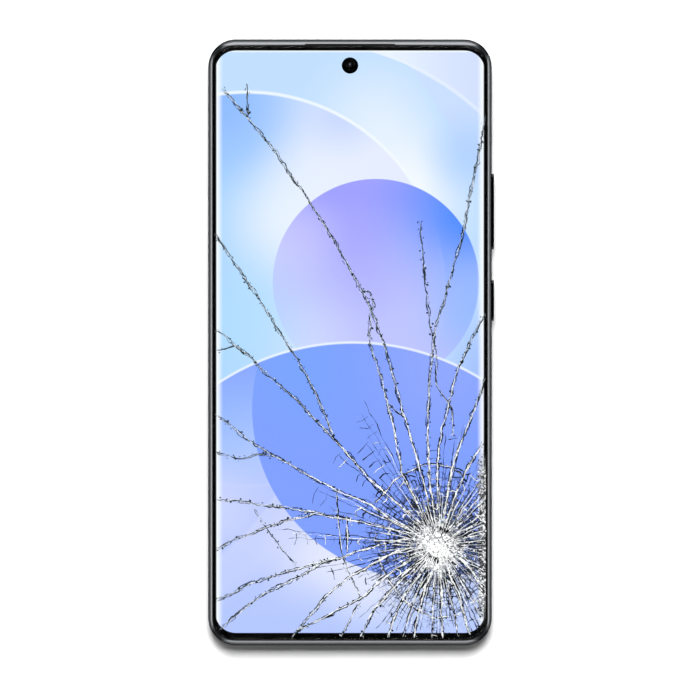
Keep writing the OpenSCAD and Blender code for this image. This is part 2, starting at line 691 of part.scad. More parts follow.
module upper_bracket() {
    o = [BOARD_BLOCK[0] + 0.4, BOARD_BLOCK[1] - 0.4, BOARD_BLOCK[2] + 0.6, BOARD_BLOCK[3] - 0.4, 2];
    color("darkslategray") bracket_plate(o, UPPER_SCREWS);
}

// Flat spiral antenna, drawn as nested closed tracks
module nfc_coil() {
    o = [BOARD_BLOCK[0] + 6, TRIM[0] - FLANGE_W - 1, BOARD_BLOCK[2] + 4, BOARD_BLOCK[3] - 4, 3];
    color("peru") for (i = [0 : 2]) difference() {
        slab(inset(o, i * 1.4), z_cover_plate - 0.15, z_cover_plate);
        slab(inset(o, i * 1.4 + 0.8), 0, z_top);
    }
}

module screw(p) {
    rod([p[0], p[1], z_cover_plate - SCREW_HEAD_H], [p[0], p[1], z_cover_plate], SCREW_HEAD_R);
    rod([p[0], p[1], z_cover_plate - 0.05], [p[0], p[1], z_boss + SCREW_L - 0.3], SCREW_R);
}

module screws() {
    color("gray") for (p = concat(UPPER_SCREWS, LOWER_SCREWS)) difference() {
        screw(p);
        for (a = [0, 90]) translate([p[0], p[1], z_cover_plate - SCREW_HEAD_H]) rotate([0, 0, a])
            cube([1.4, 0.3, 0.4], center = true);
    }
}

// --- Rear cameras ---

module camera_block(p, size, z0) {
    block([p[0] - size / 2, p[1] - size / 2, z0], [p[0] + size / 2, p[1] + size / 2, camera_z1]);
}

module main_camera() {
    color("darkslategray") difference() {
        camera_block(MAIN, MAIN_HOUSING, z_flange + 0.1);
        rod([MAIN[0], MAIN[1], 0], [MAIN[0], MAIN[1], barrel_z1 + 0.4], barrel_r + SLIP);
    }
}

module focus_barrel() {
    color("black") difference() {
        rod([MAIN[0], MAIN[1], barrel_z0], [MAIN[0], MAIN[1], barrel_z1], barrel_r);
        translate([MAIN[0], MAIN[1], barrel_z0 - 0.01]) cylinder(h = 0.6, r1 = barrel_r * 0.7, r2 = barrel_r * 0.45);
    }
}

module fixed_camera(p, size, r, z0) {
    difference() {
        union() {
            camera_block(p, size, z0);
            rod([p[0], p[1], RING_DEPTH + 0.4], [p[0], p[1], z0 + 0.5], r);
        }
        translate([p[0], p[1], RING_DEPTH + 0.39]) cylinder(h = 0.5, r1 = r * 0.7, r2 = r * 0.45);
    }
}

module wide_camera() {
    color("darkslategray") fixed_camera(WIDE, WIDE_HOUSING, wide_r, z_flange + 0.4);
}

module macro_camera() {
    color("darkslategray") fixed_camera(MACRO, MACRO_HOUSING, macro_r, z_board0 - 1);
}

module camera_flexes() {
    z = camera_z1 - 1;
    color("darkorange") {
        block([BOARD_BLOCK[1] + 0.1, MAIN[1] - MACRO_HOUSING / 2 - 3.6, z],
            [MAIN[0] - MAIN_HOUSING / 2, MAIN[1] - MACRO_HOUSING / 2 - 0.4, z + FLEX_T]);
        block([MACRO[0] - 1.5, MAIN[1] - MACRO_HOUSING / 2 - 0.4, z], [MACRO[0] + 1.5, MACRO[1] - MACRO_HOUSING / 2, z + FLEX_T]);
        block([BOARD_BLOCK[1] + 0.1, WIDE[1] - 2, z], [WIDE[0] - WIDE_HOUSING / 2, WIDE[1] + 2, z + FLEX_T]);
    }
}

module flash_led() {
    color("khaki") {
        translate([FLASH[0] - 1.5, FLASH[1] - 1.5, z_rear1 - 0.7]) cube([3, 3, 0.6]);
        translate([FLASH[0] - 2, FLASH[1] - 2, z_rear1 - 0.1]) cube([4, 4, z_flange - z_rear1 + 0.3]);
    }
}

module flash_window() {
    color("ivory") rod([FLASH[0], FLASH[1], ring_proud], [FLASH[0], FLASH[1], ring_proud + 0.6], FLASH_R);
}

module camera_trim() {
    color("dimgray") difference() {
        union() {
            soft_slab(TRIM, ring_proud, z_rear1, 0.5, false);
            slab(inset(TRIM, -FLANGE_W), z_rear1, z_flange);
        }
        for (c = RINGS) {
            p = c[0];
            rod([p[0], p[1], 0], [p[0], p[1], RING_DEPTH], c[1] + RING_T + LIP_W + FIT);
            rod([p[0], p[1], 0], [p[0], p[1], z_top], c[1]);
        }
        rod([FLASH[0], FLASH[1], 0], [FLASH[0], FLASH[1], ring_proud + 0.6], FLASH_R + FIT);
        block([FLASH[0] - 2.1, FLASH[1] - 2.1, ring_proud + 0.5], [FLASH[0] + 2.1, FLASH[1] + 2.1, z_top]);
    }
}

module lens_rings() {
    color("silver") for (c = RINGS) {
        p = c[0];
        difference() {
            rod([p[0], p[1], 0], [p[0], p[1], RING_DEPTH], c[1] + RING_T + LIP_W);
            rod([p[0], p[1], -1], [p[0], p[1], RING_DEPTH - LIP_T], c[1] + LIP_W);
            rod([p[0], p[1], -1], [p[0], p[1], z_top], c[1]);
        }
    }
}

module lens_covers() {
    color("black", 0.5) for (c = RINGS) {
        p = c[0];
        rod([p[0], p[1], RING_DEPTH - LIP_T - LENS_COVER_T], [p[0], p[1], RING_DEPTH - LIP_T], c[1] + LIP_W - FIT);
    }
}

// --- Rear cover ---

module rear_cover() {
    color("darkslategray") difference() {
        soft_slab(REAR, bump_h, z_rear1, REAR_EDGE_R, false);
        slab(inset(TRIM, -FIT), 0, z_top);
    }
}

module rear_adhesive() {
    color("black") difference() {
        slab(inset(REAR, 0.1), z_rear1, z_seat);
        slab(inset(CAVITY, -0.1), 0, z_top);
    }
}

// --- Battery ---

module battery() {
    color("darkgray") soft_slab(BATTERY, battery_z0, battery_z1, 0.8, false);
}

module battery_adhesive() {
    color("white") for (x = [BATTERY[0] + 10, BATTERY[1] - 22])
        block([x, BATTERY[2] + 4, battery_z1], [x + 12, BATTERY[3] - 4, z_plate0]);
}

module battery_flex() {
    z = z_board0 - PLUG[2] - FLEX_T;
    color("darkorange") {
        block([battery_plug_x - 2.6, BATTERY[3], z], [battery_plug_x + 2.6, plug_y + 1, z + FLEX_T]);
        block([battery_plug_x - 11, BATTERY[3], battery_z0 + 1], [battery_plug_x + 3, BATTERY[3] + 0.9, z + FLEX_T]);
    }
}

// --- Bottom edge ---

module sub_board() {
    port = port_w / 2 + port_wall + 0.2;
    color("darkgreen") difference() {
        slab(SUB_BOARD, z_sub0, z_sub1);
        block([-port, -hl, 0], [port, -hl + port_depth + 0.7, z_top]);
        for (p = LOWER_SCREWS) rod([p[0], p[1], 0], [p[0], p[1], z_top], BOSS_R + 0.12);
    }
}

module usb_c_port() {
    y0 = -hl + 0.2;
    y1 = -hl + port_depth;
    color("silver") {
        difference() {
            y_slot([0, port_z], port_w + 2 * port_wall, port_h + 2 * port_wall, y0, y1);
            y_slot([0, port_z], port_w, port_h, y0 - 1, y1 - 0.8);
        }
        block([-3.3, y0 + 0.7, port_z - 0.35], [3.3, y1 - 0.5, port_z + 0.35]);
    }
}

module sim_reader() {
    w = READER_WALL;
    x0 = tray_x0 - 0.15;
    x1 = eject_x + 0.75;
    h = tray_t / 2 + 0.15;
    color("silver") difference() {
        block([x0 - w, CAVITY[2] + 0.1, tray_z - h - w], [x1 + w, tray_y1 + 3, z_sub0]);
        block([x0, CAVITY[2] - 1, tray_z - h], [x1, tray_y1 + 2.6, tray_z + h]);
    }
}

// The eject pin pushes the rod, and the rocking bar behind the tray pushes the tray out
module eject_lever() {
    color("gray") {
        rod([eject_x, tray_y0 + 2.5, tray_z], [eject_x, tray_y1 + 1, tray_z], tray_t / 2);
        block([tray_x0 + 1, tray_y1 + 0.8, tray_z - 0.3], [eject_x + 0.5, tray_y1 + 2, tray_z + 0.3]);
    }
}

module sim_tray() {
    color("dimgray") difference() {
        union() {
            y_slot([head_cx, tray_z], TRAY_HEAD_W, TRAY_HEAD_H, -hl, tray_y0);
            block([tray_x0, tray_y0 - 0.2, tray_z - tray_t / 2], [tray_x1, tray_y1, tray_z + tray_t / 2]);
        }
        block([TRAY_CX - CARD_W / 2, tray_y1 - CARD_L - 1, tray_z - 2], [TRAY_CX + CARD_W / 2, tray_y1 - 1, tray_z + 2]);
        rod([eject_x, -hl - 1, tray_z], [eject_x, tray_y0 + 1, tray_z], eject_r);
    }
}

module sim_tray_seal() {
    h = tray_t / 2;
    color("black") difference() {
        block([tray_x0 - 0.25, tray_y0 + 0.15, tray_z - h - 0.25], [tray_x1 + 0.25, tray_y0 + 0.65, tray_z + h + 0.25]);
        block([tray_x0, tray_y0, tray_z - h], [tray_x1, tray_y0 + 1, tray_z + h]);
    }
}

module loudspeaker() {
    color("dimgray") difference() {
        slab(SPEAKER, z_boss + 0.1, z_plate0 - LIFT);
        block([grille_x - 7, -hl, key_z - 0.8], [grille_x + 7, SPEAKER[2] + 3, key_z + 0.8]);
    }
}

module speaker_mesh() {
    color("black") block([grille_x - 8, CAVITY[2] + 0.1, key_z - 1], [grille_x + 8, CAVITY[2] + 0.4, key_z + 1]);
}

module lower_bracket() {
    o = [SUB_BOARD[0] + 0.3, CAVITY[1] - 0.9, SUB_BOARD[2] + 0.3, -hl + battery_bottom - 0.9, 2];
    color("darkslategray") bracket_plate(o, LOWER_SCREWS);
}

module vibration_motor() {
    w = MOTOR_WALL;
    color("silver") translate([motor_x, motor_y, motor_z]) difference() {
        cube(MOTOR);
        translate([w, w, w]) cube(MOTOR - 2 * [w, w, w]);
    }
}

module haptic_mass() {
    w = MOTOR_WALL;
    gap = [HAPTIC_TRAVEL + 0.3, 0.08, 0.08];
    color("gray") translate([motor_x, motor_y, motor_z] + [w, w, w] + gap) cube(MOTOR - 2 * [w, w, w] - 2 * gap);
}

module main_flex() {
    z0 = z_board0 - PLUG[2] - FLEX_T;
    z1 = z_rear1 + 0.2;
    color("darkorange") {
        bent_strip([[plug_y + 1.2, z0], [BATTERY[3] + 1.1, z0], [BATTERY[3] - 0.4, z1], [BATTERY[2] + 0.4, z1],
            [BATTERY[2] - 0.6, z1]], FLEX_T, main_flex_x - 4, main_flex_x + 4);
    }
}

// Antenna cable: straight runs between its two plugs, held along the left wall
CABLE_R = 0.4;
module coax_cable() {
    x = CAVITY[0] + 0.85;
    z = z_board0 - 1;
    y0 = SUB_BOARD[3] + 2;
    y1 = BOARD_BLOCK[2] - 0.9;
    color("black") {
        rod([x, y0, z], [x, y1, z], CABLE_R);
        for (y = [y0, y1]) translate([x, y, z]) sphere(CABLE_R);
    }
}

// --- Keys ---

module power_button() {
    color("dimgray") {
        x_slot(power_y, key_z, power_l, key_h, cap_x, hw + key_proud);
        x_slot(power_y, key_z, STEM_L + 2, STEM_H, clip_x, cap_x + 0.1);
    }
}

module power_key_clip() {
    color("silver") difference() {
        x_slot(power_y, key_z, STEM_L + 4, STEM_H + 1.2, clip_x, clip_x + CLIP_T);
        x_slot(power_y, key_z, STEM_L + 2, STEM_H, clip_x - 1, clip_x + 1);
    }
}

module volume_rocker() {
    color("dimgray") {
        x_slot(volume_y, key_z, volume_l, key_h, cap_x, hw + key_proud);
        for (s = VOLUME_STEMS) x_slot(volume_y + s, key_z, STEM_L, STEM_H, clip_x - 0.25, cap_x + 0.1);
        rod([cap_x, volume_y, key_z - STEM_H / 2], [cap_x, volume_y, key_z + STEM_H / 2], FULCRUM_R);
    }
}

module volume_key_clips() {
    color("silver") for (s = VOLUME_STEMS) difference() {
        x_slot(volume_y + s, key_z, STEM_L + 1.6, STEM_H + 1.2, clip_x - 0.25, clip_x - 0.25 + CLIP_T);
        x_slot(volume_y + s, key_z, STEM_L, STEM_H, clip_x - 1, clip_x + 1);
    }
}

switch_y = [power_y, volume_y + VOLUME_STEMS[0], volume_y + VOLUME_STEMS[1]];
flex_x = dome_x - 0.25 - DOME_H;
module side_key_flex() {
    color("darkorange") block([flex_x - FLEX_T, power_y - 6, key_z - KEY_FLEX_H / 2],
        [flex_x, volume_y + volume_l / 2, key_z + KEY_FLEX_H / 2]);
}

module dome_switches() {
    color("gold") for (y = switch_y) rod([flex_x, y, key_z], [flex_x + DOME_H, y, key_z], DOME_R);
}

module key_bracket() {
    x1 = flex_x - FLEX_T;
    color("silver") block([x1 - KEY_BRACKET_T, power_y - 6, key_z - KEY_FLEX_H / 2],
        [x1, volume_y + volume_l / 2, key_z + KEY_FLEX_H / 2]);
}

cover_glass();
display_panel();
display_adhesive();
graphite_sheet();
fingerprint_sensor();
display_flex();
mid_frame();
earpiece_mesh();
front_camera();
earpiece_speaker();
ambient_sensor();
microphones();
main_board();
board_chips();
shield_cans();
board_connectors();
upper_bracket();
nfc_coil();
screws();
main_camera();
focus_barrel();
wide_camera();
macro_camera();
camera_flexes();
flash_led();
flash_window();
camera_trim();
lens_rings();
lens_covers();
rear_cover();
rear_adhesive();
battery();
battery_adhesive();
battery_flex();
sub_board();
usb_c_port();
sim_reader();
eject_lever();
sim_tray();
sim_tray_seal();
loudspeaker();
speaker_mesh();
lower_bracket();
vibration_motor();
haptic_mass();
main_flex();
coax_cable();
power_button();
power_key_clip();
volume_rocker();
volume_key_clips();
side_key_flex();
dome_switches();
key_bracket();
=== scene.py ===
# %% [markdown]
# # A slab phone with a shattered screen
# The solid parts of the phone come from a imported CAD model, in metres and in place.
# This script gives each part its finish, breaks the cover glass into loose shards, lays the
# fine cracks over it and adds the small pieces that a CAD model leaves out.
# The frame is loaded first, because every other step takes its places from it.

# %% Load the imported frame
import json
import math
import random

import bmesh
import bpy
from mathutils import Matrix, Vector


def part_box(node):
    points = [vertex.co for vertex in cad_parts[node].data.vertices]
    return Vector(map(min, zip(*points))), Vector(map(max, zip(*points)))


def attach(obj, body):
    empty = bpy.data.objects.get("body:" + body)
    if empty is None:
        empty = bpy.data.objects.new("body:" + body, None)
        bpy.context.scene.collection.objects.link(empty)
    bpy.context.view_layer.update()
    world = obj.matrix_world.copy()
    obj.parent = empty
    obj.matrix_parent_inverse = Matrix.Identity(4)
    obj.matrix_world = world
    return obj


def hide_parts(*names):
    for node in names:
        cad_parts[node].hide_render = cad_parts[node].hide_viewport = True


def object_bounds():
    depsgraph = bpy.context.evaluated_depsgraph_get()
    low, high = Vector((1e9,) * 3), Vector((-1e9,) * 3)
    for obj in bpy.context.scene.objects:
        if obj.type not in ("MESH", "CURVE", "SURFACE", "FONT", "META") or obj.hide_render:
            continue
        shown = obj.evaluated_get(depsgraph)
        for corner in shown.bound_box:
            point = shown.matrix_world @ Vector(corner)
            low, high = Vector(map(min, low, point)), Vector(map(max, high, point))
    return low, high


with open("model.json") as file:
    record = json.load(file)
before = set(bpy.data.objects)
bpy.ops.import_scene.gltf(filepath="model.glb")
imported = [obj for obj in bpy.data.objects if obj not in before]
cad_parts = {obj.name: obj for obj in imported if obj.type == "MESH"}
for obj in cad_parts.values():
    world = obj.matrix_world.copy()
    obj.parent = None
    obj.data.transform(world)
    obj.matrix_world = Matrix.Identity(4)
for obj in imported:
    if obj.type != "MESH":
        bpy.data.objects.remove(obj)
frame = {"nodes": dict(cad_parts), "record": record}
cad_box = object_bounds()
nodes = frame["nodes"]
MM = 0.001
print("CAD box", [[round(v / MM, 2) for v in corner] for corner in cad_box])

# %% [markdown]
# ## Camera
# The phone lies on its back and is seen from straight above. A long lens far away keeps the
# sides of the frame from leaning outwards, as a catalogue picture does.

# %% Camera
scene = bpy.context.scene
VIEW_WIDTH = 186.67 * MM
LENS, SENSOR = 250, 36
AIM_Y = -2.03 * MM


def add_object(name, data):
    made = bpy.data.objects.new(name, data)
    scene.collection.objects.link(made)
    return made


camera = add_object("camera", bpy.data.cameras.new("camera"))
camera.data.lens, camera.data.sensor_width = LENS, SENSOR
screen_top = cad_box[1].z
camera.location = (0, AIM_Y, screen_top + VIEW_WIDTH * LENS / SENSOR)
camera.data.clip_start = 0.02
scene.camera = camera
print("camera height", round(camera.location.z, 3), "m")

# %% [markdown]
# ## Studio light
# A white table lit by large soft boxes. The glass mirrors whatever is straight above it, so
# the ceiling stays dark and the screen keeps its blacks; the boxes stand to the sides, where
# they only glint in the rounded rim. The main one stands behind the top edge, so the shadow
# falls just below the bottom edge; it is flagged off from mirror rays, and the low cards at
# the four sides are seen in mirror rays only, which draws the bright line along the rim.

# %% Studio light
scene.view_settings.view_transform = "Standard"


def soft_box(name, place, size, watts):
    data = bpy.data.lights.new(name, "AREA")
    data.shape = "RECTANGLE"
    data.size, data.size_y = size
    data.energy = watts
    lamp = add_object(name, data)
    lamp.location = place
    lamp.rotation_euler = (-Vector(place)).to_track_quat("-Z", "Y").to_euler()
    lamp.visible_camera = False
    return lamp


main_box = soft_box("box_main", (0, 0.44, 1.34), (0.4, 0.5), 31)
main_box.visible_glossy = main_box.visible_transmission = False
for name, place, size, watts in (("card_top", (0, 1.2, 0.5), (1.6, 0.75), 22),
                                 ("card_bottom", (0, -1.2, 0.38), (1.6, 0.45), 9),
                                 ("card_left", (-1.3, 0, 0.2), (1.6, 0.26), 8),
                                 ("card_right", (1.3, 0, 0.2), (1.6, 0.26), 8)):
    soft_box(name, place, size, watts).visible_diffuse = False

# %% [markdown]
# ## Node graphs as sums
# Finishes and patterns are drawn by node trees. Wrapping a socket in a small class lets a
# tree be written as a formula: adding two values adds a Math node. The same class serves
# shader trees and geometry trees.

# %% Node graphs as sums


class Value:
    """A node's socket that can stand in a formula."""

    def __init__(self, graph, socket):
        self.graph, self.socket = graph, socket

    def __add__(self, other):
        return self.graph.math("ADD", self, other)

    def __sub__(self, other):
        return self.graph.math("SUBTRACT", self, other)

    def __rsub__(self, other):
        return self.graph.math("SUBTRACT", other, self)

    def __mul__(self, other):
        return self.graph.math("MULTIPLY", self, other)

    def __truediv__(self, other):
        return self.graph.math("DIVIDE", self, other)

    __radd__, __rmul__ = __add__, __mul__


class Outputs:
    """A made node, whose outputs are taken by name or number."""

    def __init__(self, graph, made):
        self.graph, self.made = graph, made

    def __getitem__(self, key):
        return Value(self.graph, pick(self.made.outputs, key))


def pick(sockets, key):
    if isinstance(key, int):
        return sockets[key]
    return next(s for s in sockets if s.name == key and s.enabled)


class Graph:
    """Builds one node tree."""

    def __init__(self, tree):
        self.tree = tree

    def node(self, kind, settings=None, inputs=None):
        made = self.tree.nodes.new(kind)
        for key, setting in (settings or {}).items():
            if key == "stops":
                stops = made.color_ramp.elements
                stops.remove(stops[1])
                stops[0].position, stops[0].color = setting[0][0], (*setting[0][1], 1)
                for place, colour in setting[1:]:
                    stops.new(place).color = (*colour, 1)
            else:
                setattr(made, key, setting)
        for key, value in (inputs or {}).items():
            socket = pick(made.inputs, key)
            if isinstance(value, Value):
                self.tree.links.new(value.socket, socket)
            elif socket.type == "RGBA" and len(value) == 3:
                socket.default_value = (*value, 1)
            else:
                socket.default_value = value
        return Outputs(self, made)

    def math(self, operation, *operands):
        return self.node("ShaderNodeMath", {"operation": operation}, dict(enumerate(operands)))[0]

    def split(self, vector):
        parts = self.node("ShaderNodeSeparateXYZ", None, {"Vector": vector})
        return parts["X"], parts["Y"], parts["Z"]

    def join(self, x, y, z):
        return self.node("ShaderNodeCombineXYZ", None, {"X": x, "Y": y, "Z": z})["Vector"]

    def stretch(self, vector, by):
        return self.node("ShaderNodeVectorMath", {"operation": "MULTIPLY"}, {0: vector, 1: by})[0]

    def noise(self, vector, scale, detail=2.0):
        return self.node("ShaderNodeTexNoise", None,
                         {"Vector": vector, "Scale": scale, "Detail": detail})["Fac"]

    def smooth(self, value, low, high):
        return self.node("ShaderNodeMapRange", {"interpolation_type": "SMOOTHSTEP"},
                         {"Value": value, "From Min": low, "From Max": high})["Result"]

    def mix(self, share, a, b):
        return self.node("ShaderNodeMix", {"data_type": "RGBA"},
                         {"Factor": share, "A": a, "B": b})["Result"]

    def bump(self, height, depth):
        return self.node("ShaderNodeBump", None,
                         {"Height": height, "Distance": depth, "Strength": 1.0})["Normal"]


print("graph tools ready")

# %% [markdown]
# ## Finishes
# Each finish is a Principled shader whose colour and roughness wander a little, the way real
# surfaces do: metal has a fine grain, moulded plastic has a pebbled skin, foil has streaks.
# A few families cover most of the phone's parts, and each part picks its own numbers.

# %% Finish families


def srgb(*levels):
    """A linear colour from the 0 to 255 levels of a screen."""
    return tuple((v / 255 / 12.92) if v < 11 else ((v / 255 + 0.055) / 1.055) ** 2.4 for v in levels)


def finish(name, draw):
    """A material whose Principled inputs come from draw(graph, place)."""
    made = bpy.data.materials.new(name)
    made.use_nodes = True
    made.node_tree.nodes.clear()
    graph = Graph(made.node_tree)
    place = graph.node("ShaderNodeTexCoord")["Object"]
    skin = graph.node("ShaderNodeBsdfPrincipled", None, draw(graph, place))
    graph.node("ShaderNodeOutputMaterial", None, {"Surface": skin["BSDF"]})
    made.cycles.emission_sampling = "NONE"
    return made


def metal(name, dark, light, rough, stretch=(1, 1, 1), grain=2500, depth=0.004):
    """Metal with a grain: stretch draws the grain out into brush lines."""
    def draw(graph, place):
        line = graph.noise(graph.stretch(place, stretch), grain, 4.0)
        cloud = graph.noise(place, 60)
        return {"Base Color": graph.mix(line * 0.7 + cloud * 0.3, dark, light), "Metallic": 1.0,
                "Roughness": rough - 0.06 + line * 0.08 + cloud * 0.06,
                "Normal": graph.bump(line, depth * MM)}
    return finish(name, draw)


def moulded(name, dark, light, rough, pebble=4500, depth=0.006, coat=0.0, shine=0.5):
    """Plastic, rubber or paint with a pebbled skin."""
    def draw(graph, place):
        skin = graph.noise(place, pebble, 3.0)
        cloud = graph.noise(place, 90)
        return {"Base Color": graph.mix(skin * 0.5 + cloud * 0.5, dark, light),
                "Roughness": rough - 0.08 + cloud * 0.16, "Coat Weight": coat,
                "Specular IOR Level": shine,
                "Normal": graph.bump(skin, depth * MM)}
    return finish(name, draw)


def striped(name, ground, track, rough, across, pitch, metallic=0.0):
    """Flexible circuit: copper tracks under a film, side by side across one direction."""
    def draw(graph, place):
        x, y, z = graph.split(place)
        wave = graph.math("PINGPONG", graph.math("ABSOLUTE", (x, y, z)[across]), pitch / 2) / (pitch / 2)
        copper = graph.smooth(wave, 0.35, 0.6)
        return {"Base Color": graph.mix(copper, ground, track), "Metallic": copper * metallic,
                "Roughness": rough + graph.noise(place, 200) * 0.1,
                "Normal": graph.bump(copper, 0.02 * MM)}
    return finish(name, draw)


print("finish families ready")

# %% [markdown]
# ## Finishes of the inner parts
# The inside shows only where the phone is opened or looked into, yet each part keeps the look
# of its trade: green solder mask over copper, stamped shields, foil, film and black plastic.

# %% Finishes of the inner parts


def solder_mask(graph, place):
    """Copper tracks seen through green lacquer, with bare gold pads."""
    cells = graph.node("ShaderNodeTexVoronoi", {"feature": "DISTANCE_TO_EDGE", "distance": "EUCLIDEAN"},
                       {"Vector": graph.stretch(place, (1, 0.55, 1)), "Scale": 900.0})["Distance"]
    track = graph.smooth(cells, 0.06, 0.12)
    pads = graph.smooth(graph.node("ShaderNodeTexVoronoi", None, {"Vector": place, "Scale": 450.0})
                        ["Distance"], 0.22, 0.16)
    green = graph.mix(track, (0.012, 0.10, 0.055), (0.006, 0.045, 0.03))
    return {"Base Color": graph.mix(pads, green, (0.75, 0.52, 0.16)), "Metallic": pads * 0.9,
            "Roughness": 0.28 + graph.noise(place, 300) * 0.15, "Coat Weight": 0.5,
            "Normal": graph.bump(track, 0.03 * MM)}


def cell_wrap(graph, place):
    """Battery: grey film with a plain lighter panel and one coloured band, unprinted."""
    x, y, z = graph.split(place)
    panel = (graph.smooth(graph.math("ABSOLUTE", x + 0.004), 0.0205, 0.02)
             * graph.smooth(graph.math("ABSOLUTE", y + 0.004), 0.0305, 0.03))
    band = graph.smooth(graph.math("ABSOLUTE", y - 0.0165), 0.0035, 0.0032) * panel
    film = graph.noise(place, 260, 4.0)
    ground = graph.mix(film, (0.05, 0.052, 0.056), (0.10, 0.102, 0.108))
    ground = graph.mix(panel, ground, (0.30, 0.31, 0.32))
    return {"Base Color": graph.mix(band, ground, (0.05, 0.16, 0.30)),
            "Roughness": 0.34 + film * 0.18, "Normal": graph.bump(film, 0.05 * MM)}


finishes = {
    "black_gasket": moulded("black_gasket", (0.001, 0.001, 0.001), (0.003, 0.003, 0.003), 0.5, shine=0.1),
    "graphite": metal("graphite_foil", (0.03, 0.03, 0.032), (0.075, 0.075, 0.08), 0.42, grain=1400),
    "sensor_black": moulded("sensor_black", (0.001, 0.001, 0.0015), (0.004, 0.004, 0.005), 0.2, shine=0.3),
    "flex_amber": striped("flex_amber", (0.36, 0.14, 0.02), (0.62, 0.30, 0.09), 0.3, 0, 0.8 * MM, 0.6),
    "mesh_black": moulded("mesh_black", (0.008, 0.008, 0.008), (0.03, 0.03, 0.03), 0.5),
    "speaker_plastic": moulded("speaker_plastic", (0.015, 0.015, 0.017), (0.05, 0.05, 0.055), 0.5),
    "gold_contact": metal("gold_contact", (0.62, 0.42, 0.12), (0.85, 0.64, 0.26), 0.28),
    "board_green": finish("board_green", solder_mask),
    "chip_black": moulded("chip_black", (0.01, 0.01, 0.011), (0.035, 0.035, 0.037), 0.45, 6000),
    "tinned_steel": metal("tinned_steel", (0.42, 0.42, 0.43), (0.68, 0.68, 0.69), 0.32,
                          (1, 0.08, 1), 1800),
    "bracket_black": moulded("bracket_black", (0.012, 0.013, 0.014), (0.04, 0.042, 0.045), 0.5),
    "copper": metal("coil_copper", (0.45, 0.18, 0.08), (0.72, 0.36, 0.18), 0.35),
    "screw_steel": metal("screw_steel", (0.25, 0.25, 0.26), (0.45, 0.45, 0.46), 0.3),
    "camera_body": moulded("camera_body", (0.003, 0.003, 0.004), (0.010, 0.010, 0.012), 0.35, shine=0.3),
    "battery_wrap": finish("battery_wrap", cell_wrap),
    "adhesive_white": moulded("adhesive_white", (0.62, 0.62, 0.60), (0.82, 0.82, 0.80), 0.7),
    "tungsten": metal("tungsten", (0.14, 0.14, 0.145), (0.30, 0.30, 0.31), 0.45),
    "cable_black": moulded("cable_black", (0.006, 0.006, 0.006), (0.02, 0.02, 0.02), 0.5, 2500),
}
print(len(finishes), "inner finishes")

# %% [markdown]
# ## Finishes of the outside
# The frame, keys and tray are dark bead-blasted aluminium: the grain is far finer than a
# brush line. The rim's top carries a painted highlight: its metal is painted a lighter tone
# there than on the sides, so that the lamps draw a bright line along it.
# The back is satin glass over a dark film; its colour grows slowly lighter towards its top
# end, and fingertips leave it a little duller in places.

# %% Finishes of the outside
OPENING_X, OPENING_Y, OPENING_MIDDLE_Y = 36.65 * MM, 79.3 * MM, -0.1 * MM
# heights over which the rim's painted highlight, a lighter metal tone, fades in
PAINTED_HIGHLIGHT_FROM, PAINTED_HIGHLIGHT_TO = 7.9 * MM, 8.9 * MM


def blasted_aluminium(graph, place):
    blast = graph.noise(place, 9000, 2.0)
    cloud = graph.noise(place, 45, 3.0)
    ground = graph.mix(blast * 0.5 + cloud * 0.5, (0.016, 0.017, 0.018), (0.030, 0.031, 0.033))
    x, y, z = graph.split(place)
    outside = graph.math("MAXIMUM", graph.math("ABSOLUTE", x) - OPENING_X,
                         graph.math("ABSOLUTE", y - OPENING_MIDDLE_Y) - OPENING_Y)
    # painted highlight: the rim's top outside the glass opening is painted a lighter metal, so the lamps
    # draw a bright line there
    rim = graph.smooth(z, PAINTED_HIGHLIGHT_FROM, PAINTED_HIGHLIGHT_TO) * graph.smooth(outside, 0.0, 0.1 * MM)
    return {"Base Color": graph.mix(rim, ground, (0.085, 0.088, 0.092)),
            "Metallic": 1.0, "Roughness": 0.15 + cloud * 0.06 + blast * 0.04,
            "Specular Tint": (0.25, 0.25, 0.26), "Normal": graph.bump(blast, 0.0003 * MM)}


def satin_back(graph, place):
    x, y, z = graph.split(place)
    drift = graph.smooth(y + x * 0.4, -0.09, 0.09)
    cloud = graph.noise(place, 30, 4.0)
    smudge = graph.smooth(graph.noise(graph.stretch(place, (1, 0.4, 1)), 70, 5.0), 0.5, 0.75)
    frost = graph.noise(place, 7000, 2.0)
    ground = graph.mix(drift, (0.012, 0.016, 0.024), (0.030, 0.036, 0.048))
    return {"Base Color": graph.mix(cloud * 0.4, ground, (0.05, 0.056, 0.068)),
            "Roughness": 0.34 + smudge * 0.1 + cloud * 0.05, "Coat Weight": 0.35,
            "Coat Roughness": 0.25, "Normal": graph.bump(frost, 0.003 * MM)}


def turned_ring(graph, place):
    """Polished ring: fine turning lines, which the noise keeps from being perfect circles."""
    turning = graph.noise(graph.stretch(place, (1, 1, 12)), 1600, 3.0)
    return {"Base Color": graph.mix(turning, (0.20, 0.205, 0.215), (0.36, 0.365, 0.38)), "Metallic": 1.0,
            "Roughness": 0.16 + turning * 0.1, "Normal": graph.bump(turning, 0.003 * MM)}


def tinted_cover(graph, place):
    """Lens cover: dark glass with a faint purple to green bloom of its coating."""
    bloom = graph.noise(place, 120, 1.0)
    return {"Base Color": graph.mix(bloom, (0.60, 0.58, 0.72), (0.55, 0.68, 0.66)),
            "Roughness": 0.02, "Transmission Weight": 1.0, "IOR": 1.5, "Coat Weight": 0.4}


def clear_pane(graph, place):
    """Clear glass; its index is kept low, so that it mirrors the light cards only weakly."""
    haze = graph.noise(place, 400, 2.0)
    return {"Base Color": graph.mix(haze, (0.99, 0.992, 0.996), (0.975, 0.985, 0.99)),
            "Roughness": 0.0, "Transmission Weight": 1.0, "IOR": 1.15, "Specular IOR Level": 0.12}


